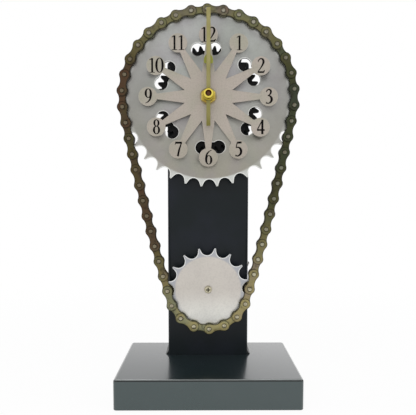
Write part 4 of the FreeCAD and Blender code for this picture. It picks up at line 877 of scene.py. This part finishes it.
def circuit_board():
    """Green solder mask with straight copper tracks showing through."""
    n = finish("board")
    black, white = (0, 0, 0, 1), (1, 1, 1, 1)
    tracks = n.add("TexBrick", {"offset": 0.5}, {
        "Vector": n.place((1, 0, 1)), "Scale": 260, "Mortar Size": 0.03, "Color1": black, "Color2": black,
        "Mortar": white}, out="Fac")
    return n.surface(n.mix(tracks, (30, 92, 58), (66, 128, 80)), 0.35)


def wound_copper():
    """Lacquered wire: fine turns across the coil in colour and bump."""
    n = finish("wound_copper")
    turns = n.add("TexWave", {"bands_direction": "Z"}, {"Vector": n.place(), "Scale": 900, "Distortion": 0.4})
    return n.surface(n.mix(turns, (176, 94, 48), (120, 58, 30)), 0.3, turns, 0.05, Metallic=0.6)


case_black = black_plastic("case_black", (24, 24, 25), 0.4)
cover_black = black_plastic("cover_black", (31, 31, 33), 0.46)
rubber = plain_plastic("gasket_rubber", (20, 20, 20), (28, 28, 28), 0.75)
smoothed("movement_case", "case", case_black, 0.3)
smoothed("movement_cover", "cover", cover_black, 0.15)
smoothed("movement_gasket", "gasket", rubber, 0.15)
smoothed("movement_contacts", "case_contacts", bright, 0.06)
smoothed("movement_board", "board", circuit_board(), 0.05)
smoothed("movement_coil", "coil", wound_copper(), 0.1)
cell_skin(Piece("movement_cell"), extent("movement_cell").mean(0), (1, 0, 0)).build(
    "movement_battery", "cell_sleeve", *cell_finishes("across", (0.1, 1, 1)))
front, back = extent("threaded_neck")[:, 1]
neck_radius, flange_radius, neck_bore, thread_depth, pitch = 3.9, 6.0, 2.6, 0.28, 0.75
lead_in, lead_down, flange_thick = 0.3, 0.4, 1.3
neck_flange = back - flange_thick
ridges = np.arange(front + lead_down, neck_flange - pitch, pitch)
thread = [(neck_radius - deep, y + on) for y in ridges for deep, on in ((0, 0), (thread_depth, pitch / 2))]
neck_profile = [(neck_bore, front), (neck_radius - lead_in, front), *thread, (neck_radius, neck_flange),
                (flange_radius, neck_flange), (flange_radius, back), (neck_bore, back)]
bored(Piece("threaded_neck"), neck_profile, hub_z).build("neck", "brass", brass)

# Motion work
# Cream moulded gears that turn twelve to one from the minute hand to the hour hand, on a brass
# arbor, with the setting knob and its own gear.
cream = plain_plastic("cream_plastic", (222, 216, 200), (206, 199, 180), 0.4)
for node, name in (("minute_pinion", "arbor_pinion"), ("motion_wheel", "motion_gear"),
                   ("hour_wheel", "hour_gear"), ("setting_knob", "knob")):
    smoothed(node, name, cream, 0.06)
arbor_steel = turned_metal("arbor_steel", (96, 66, 50), (70, 44, 32), 0.3, 3000)
smoothed("minute_arbor", "arbor", arbor_steel, 0.12)

# Dial
# A star of twelve tapered rays that end in number discs, cut from thin sheet. Pale pinkish-beige
# satin plate with black printed numbers; a brass washer and a hexagon nut hold it.


def dial_plate():
    """Bead-blasted plate: fine sparkle in gloss and bump, broad faint warm clouds, painted shade
    towards the bottom, and a painted highlight on the rims.
    """
    n = finish("dial_plate")
    cloud, grain = n.noise(45, 3), n.noise(900, 4)
    colour = n.mix(cloud.above(0.35, 0.7), (183, 173, 163), (172, 168, 153))
    # Painted shade: darker towards the bottom of the star.
    colour = n.mix(n.axis(2).above(hub_z - 20, hub_z - 55) * 0.5, colour, (164, 157, 143))
    colour = n.mix(grain.above(0.46, 0.62) * 0.14, colour, (118, 110, 100))
    # Painted highlight on the rims.
    colour = n.mix(n.rim() * 0.6, colour, (214, 207, 197))
    return n.surface(colour, 0.36 + grain * 0.1, grain, 0.012, Metallic=0.72)


notch, disc_middle, disc_radius, ray_half = 19.4, 47.5, 7.4, 2.15


def star_loop():
    """Each hour: the notch before it, the ray's straight side to its disc, the disc's arc, and back."""
    foot = np.arcsin(ray_half / disc_radius)
    sweep = np.linspace(-np.pi + foot, np.pi - foot, 29)
    disc = disc_radius * np.stack([np.sin(sweep), np.cos(sweep)], -1) + (0, disc_middle)
    start = notch * np.array([[-np.sin(np.pi / 12), np.cos(np.pi / 12)]])
    return repeated(np.concatenate([start, disc]), 12)


cut_sheet("star_dial", [star_loop(), circle(neck_hole, 32, True)], edge=0.16, z=hub_z).build(
    "star", "dial_nickel", dial_plate())


def oval(x, z, half_x, half_z, thick, thin):
    """Closed pen stroke round an ellipse, thick at its sides and thin at its top and foot."""
    angle = np.linspace(0, 2 * np.pi, 33)
    width = thin + (thick - thin) * np.abs(np.cos(angle)) ** 1.3
    return np.column_stack([
        x + (half_x - width) * np.cos(angle), z + (half_z - width) * np.sin(angle), width])


def pen(*knots):
    """Smooth pen stroke through (x, z, half width) knots: cubic pieces whose slope at each knot is half
    the step between its neighbours."""
    knots = np.array(knots, float)
    padded = np.concatenate([2 * knots[:1] - knots[1:2], knots, 2 * knots[-1:] - knots[-2:-1]])
    t = np.linspace(0, 1, 9)[None, :-1, None]
    p0, p1, p2, p3 = (padded[k:len(padded) - 3 + k, None] for k in range(4))
    curve = 0.5 * (2 * p1 + (p2 - p0) * t + (2 * p0 - 5 * p1 + 4 * p2 - p3) * t ** 2
                   + (3 * p1 - p0 - 3 * p2 + p3) * t ** 3)
    return np.concatenate([curve.reshape(-1, 3), knots[-1:]])


def bar(x0, z0, x1, z1, width, end_width=None):
    """Straight pen stroke, even or with another half width at its end."""
    return np.array([(x0, z0, width), (x1, z1, end_width or width)])


# Strokes in hundredths of the height and the width of a digit: x, z and half the width of the line.
six = [pen((44, 98, 1.2), (29, 90, 3), (15, 72, 5), (9, 46, 5.8), (8.5, 30, 5.8)),
       oval(25.5, 31, 22.5, 32, 6.8, 2)]
numerals = {
    "0": [oval(27.5, 50, 26.2, 50, 7, 1.8)],
    "1": [bar(27, 1, 27, 97, 5.6), bar(10, 84, 27, 96.5, 1.8, 3), bar(10, 1.6, 44, 1.6, 1.6)],
    "2": [pen((5, 74, 2), (10, 87, 3), (22, 96, 3.4), (34.5, 90, 5.5), (38.5, 74, 6.5), (33, 55, 5),
              (20, 31, 3.2), (5, 9, 2.2)),
          bar(3, 5.2, 42, 5.2, 5), bar(40, 7, 47, 20, 4.5, 1.2)],
    "3": [pen((6, 80, 2.2), (12, 90, 3.4), (23, 96.5, 3.7), (34, 89, 5.8), (35, 74, 5.6),
              (27, 61, 3.4), (16, 54.5, 2.2)),
          pen((16, 54.5, 2.2), (31, 51, 4.5), (40, 37, 7.3), (39.5, 20, 6.7), (29, 6, 4.5),
              (16, 2.5, 3), (6, 7, 5.5))],
    "4": [bar(34, 96, 3, 30, 3), bar(2, 28.5, 49, 28.5, 5), bar(34.5, 99, 34.5, 0, 6.6)],
    "5": [bar(15, 94, 43, 95.5, 6), bar(15.5, 95, 9, 60, 2.8),
          pen((9, 60, 2.6), (22, 62, 4.2), (35, 53, 6.4), (40, 35, 7.4), (36.5, 17, 6.3),
              (25, 5, 4.3), (13, 2.5, 3.4), (5, 8, 5))],
    "6": six,
    "7": [bar(4, 93, 46, 93, 6), bar(6, 94, 3, 78, 2.5, 1.2),
          pen((43, 93, 3), (36, 70, 4), (28, 42, 5.5), (20, 0, 6))],
    "8": [oval(25, 75.5, 19, 24.5, 6, 2.2), oval(25, 27.5, 22.5, 28.5, 6.6, 2.2)],
    "9": [(51, 100, 0) + stroke * (-1, -1, 1) for stroke in six],
}


def ribbon(piece, stroke, front, back):
    """Flat bar along a pen stroke: each point gives a left and a right edge square to the path."""
    path, (x, z) = stroke[:, :2], np.gradient(stroke[:, :2], axis=0).T
    aside = np.stack([-z, x], 1) / np.hypot(x, z)[:, None] * stroke[:, 2:]
    corners = [(path + aside, front), (path - aside, front), (path - aside, back), (path + aside, back)]
    piece.rings(np.stack([np.insert(edge, 1, y, axis=1) for edge, y in corners], 1))


def ink_finish():
    n = finish("ink")
    grain = n.noise(1600, 3)
    return n.surface(n.mix(grain, (6, 4, 4), (20, 17, 17)), 0.6, grain, 0.01, IOR=1.16)


dial_front = extent("star_dial")[0, 1]
print_height, print_width, print_depth, layer_depth, weight, lift = 11.4, 12.7, 0.06, 0.006, 1.14, 0.22
digit_steps = {"10": 44.8, "11": 42.8, "12": 50}
numbers = Piece()
for hour in range(1, 13):
    angle, digits = math.radians(30 * hour), str(hour)
    step = digit_steps.get(digits, 0)
    x = disc_middle * math.sin(angle) + (-0.2 if step else 0.3)
    z = hub_z + disc_middle * math.cos(angle) + lift
    for place, digit in enumerate(digits):
        for layer, stroke in enumerate(numerals[digit]):
            shape = (stroke + (step * place - 25 - step / 2, -50, 0)) / 100
            shape = shape * (print_width, print_height, print_height * weight) + (x, z, 0)
            ribbon(numbers, shape, dial_front - print_depth - layer * layer_depth, dial_front + 0.01)
numbers.build("numbers", "dial_nickel", ink_finish())

front, back = extent("dial_washer")[:, 1]
washer_radius, nut_half, rolled = 6.8, 6.23, (0.2, 0.15)
dull_plate = turned_metal("dull_plate", (176, 167, 150), (160, 148, 120), 0.4, 3000)
bored(Piece("dial_washer"), cylinders(neck_hole, (washer_radius, front, back, rolled, sharp)), hub_z).build(
    "washer", "dial_nickel", dull_plate)
aged_brass = turned_metal("aged_brass", (230, 206, 104), (204, 172, 78), 0.42, 3000)
nut_loops = [rotated(circle(nut_half, 6), 30), circle(neck_hole, 32, True)]
cut_sheet("dial_nut", nut_loops, edge=0.3, z=hub_z).build("hexagon_nut", "brass", aged_brass)

# Hands
# Two slim hands cut from thin sheet and lacquered olive-gold: a straight bar with a short tail for
# the minutes and a small leaf for the hours. A round brass nut holds them on the arbor.


def lacquered(name, colour, shade):
    """Lacquered brass: long faint grain up the hand and a soft clear coat, with dull patches and
    painted shade towards its tail.
    """
    n = finish(name)
    grain, dull = n.noise(1400, 2, (1, 1, 0.06)), n.noise(60, 3)
    # Random dull patches, and painted shade towards the tail.
    shaded = dull.above(0.35, 0.7) * 0.4 + (1 - n.axis(2).above(hub_z - 20, hub_z + 30)) * 0.6
    return n.surface(n.mix(shaded, colour, shade), 0.3 + grain * 0.14, grain, 0.01, Metallic=0.75,
                     Coat_Weight=0.25, Coat_Roughness=0.2)


def hour_loop():
    """Right half of the hour hand from the stem round the leaf to the tip, and its mirror image."""
    t = np.linspace(0, 1, 12)
    leaf = np.interp(t, [0, 0.3, 0.5, 0.75, 1], [3.35, 3.6, 3.45, 2.7, 1.5])
    half = np.array([
        (1.4, 0), (1.4, 23.7), (2.2, 23.75), (2.88, 23.95), *zip(leaf, 24.3 + t * 6.5), (0.29, 36.6)])
    return np.concatenate([half, (half * (-1, 1))[::-1]])


def hand(node, name, body, loop, material, edge, bore, pipe, pipe_edge):
    """Hand cut along its loop, with a collar round the arbor and a pipe behind the blade."""
    hand_sheet, collar = 0.5, 4.3
    front, back = extent(node)[:, 1]
    blade_back = front + hand_sheet
    blade = Piece(node, body=body).patch(*plate([loop], front, blade_back, edge, hub_z))
    bored(blade, cylinders(bore, (collar, front, blade_back, rolled, sharp),
                           (pipe, blade_back, back, sharp, (pipe_edge, pipe_edge))), hub_z)
    blade.build(name, "hand_brass", material)


half_width = 1.55
tail, tip = extent("minute_hand")[:, 2] - hub_z
blade = np.array([(half_width, tail), (half_width, tip), (-half_width, tip), (-half_width, tail)])
leaf_gold = lacquered("leaf_lacquer", (144, 146, 60), (122, 124, 42))
gold = lacquered("hand_lacquer", (161, 153, 102), (118, 112, 46))
hand("hour_hand", "hour_leaf", "hour_train", hour_loop(), leaf_gold, edge=0.08, bore=2.55, pipe=3.5,
     pipe_edge=0.2)
hand("minute_hand", "minute_bar", "minute_train", blade, gold, edge=0.1, bore=1.68, pipe=3.0,
     pipe_edge=0.15)


def polished_brass():
    """Turned brass: a bright ring round the front, olive-yellow sides and painted shade in a
    red-brown hollow, by the distance from the axis."""
    n = finish("polished_brass")
    haze, across = n.noise(500, 3), n.from_axis(hub_z)
    colour = n.mix(haze, (240, 222, 112), (216, 190, 70))
    colour = n.mix(across.above(3.4, 3.8), colour, (192, 174, 60))
    # Painted shade in the hollow round the bore.
    colour = n.mix(across.above(2.1, 2.4), (134, 88, 34), colour)
    return n.surface(colour, 0.14 + haze * 0.1, Metallic=1.0)


front, back = extent("hand_nut")[:, 1]
cap_bore, cap_hollow, cap_radius, cap_rim, cap_round = 1.68, 2.4, 4.0, 4.5, 1.0
rim_thick, rim_edge = 1.0, 0.2
rim_front = back - rim_thick
inwards, down = rounded_edge(cap_round, 6)
cap_profile = [(cap_bore, front + cap_round), (cap_hollow, front), *zip(cap_radius - inwards, front + down),
               (cap_radius, rim_front), (cap_rim - rim_edge, rim_front), (cap_rim, rim_front + rim_edge),
               (cap_rim, back), (cap_bore, back)]
bored(Piece("hand_nut", body="minute_train"), cap_profile, hub_z).build(
    "round_nut", "brass", polished_brass())

# Room
# A pale floor and a white room with broad soft lamps. What the camera and the metal see of the
# room is plain white, and the floor keeps a faint shadow of the clock.
floor_mesh, reach = bpy.data.meshes.new("floor"), 6.0
floor_mesh.from_pydata([(-reach, -reach, 0), (reach, -reach, 0), (reach, reach, 0), (-reach, reach, 0)],
                       [], [(0, 1, 2, 3)])
n = finish("floor_white")
seen, mirrored = (n.add("LightPath", out=ray) for ray in ("Is Camera Ray", "Is Glossy Ray"))
diffuse = n.add("BsdfDiffuse", values={"Color": (0.8, 0.8, 0.8, 1)})
glow = n.add("Emission", values={"Color": (1, 1, 1, 1), "Strength": 1.0})
far = n.add("VectorMath", {"operation": "LENGTH"}, {0: n.place()}, out="Value").above(0.15, 0.6)
share = seen.maths("MAXIMUM", seen * (far * 0.05 + 0.95), mirrored * 0.8)
n.add("OutputMaterial", values={0: n.add("MixShader", values={0: share, 1: diffuse, 2: glow})})
floor_mesh.materials.append(n.owner)
added("floor", floor_mesh)

world = bpy.context.scene.world = bpy.data.worlds.new("room")
n = Nodes(world)
seen, mirrored, through = (
    n.add("LightPath", out=f"Is {ray} Ray") for ray in ("Camera", "Glossy", "Transmission"))
white = seen.maths("MAXIMUM", seen, mirrored.maths("MAXIMUM", mirrored, through))
direction = n.add("TexCoord", out="Generated")
towards_back, upwards = (n.add("SeparateXYZ", values={0: direction}, out=k) for k in (1, 2))
shaded = upwards.above(0.6, 0.74) * (1 - upwards.above(0.94, 0.98)) * (1 - towards_back.above(-0.3, 0.0))
ceiling = n.mix(shaded * mirrored, (1, 1, 1, 1), (0.08, 0.08, 0.08, 1))
room = n.mix(white, (0.62, 0.63, 0.64, 1), ceiling)
n.add("OutputWorld", values={0: n.add("Background", values={"Color": room, "Strength": 1.0})})


def lamp(name, place, aim, size, power, mirrored):
    """Square lamp; one that isn't mirrored lights the clock without a bright patch in its metal."""
    light = bpy.data.lights.new(name, "AREA")
    light.energy, light.size = power, size
    holder = added(name, light)
    holder.location, holder.visible_glossy = place, mirrored
    holder.rotation_euler = (Vector(aim) - Vector(place)).to_track_quat("-Z", "Y").to_euler()


lamp("key", (-0.6, -1.0, 1.3), (0, 0, 0.15), 1.1, 7.5, False)
lamp("fill", (0.9, -0.8, 0.7), (0, 0, 0.15), 0.9, 3.5, False)
lamp("back", (-0.1, 0.9, 1.5), (0, 0, 0.2), 0.9, 5.0, True)

picture_width, centre_row, horizon_row, focal_pixels = 416, 207.5, 233.300, 485.658
camera = bpy.data.cameras.new("camera")
camera.sensor_width, camera.clip_start = 36, 0.01
camera.lens = focal_pixels * camera.sensor_width / picture_width
camera.shift_y = (horizon_row - centre_row) / picture_width
eye = added("camera", camera)
yaw, tilt, roll = 0.0074, 0.0652, -0.0008
eye.location = (-0.003067, -0.396462, 0.154300)
eye.rotation_euler = (math.pi / 2 - tilt, roll, -yaw)
bpy.context.scene.camera = eye
bpy.context.scene.view_settings.view_transform = "Standard"
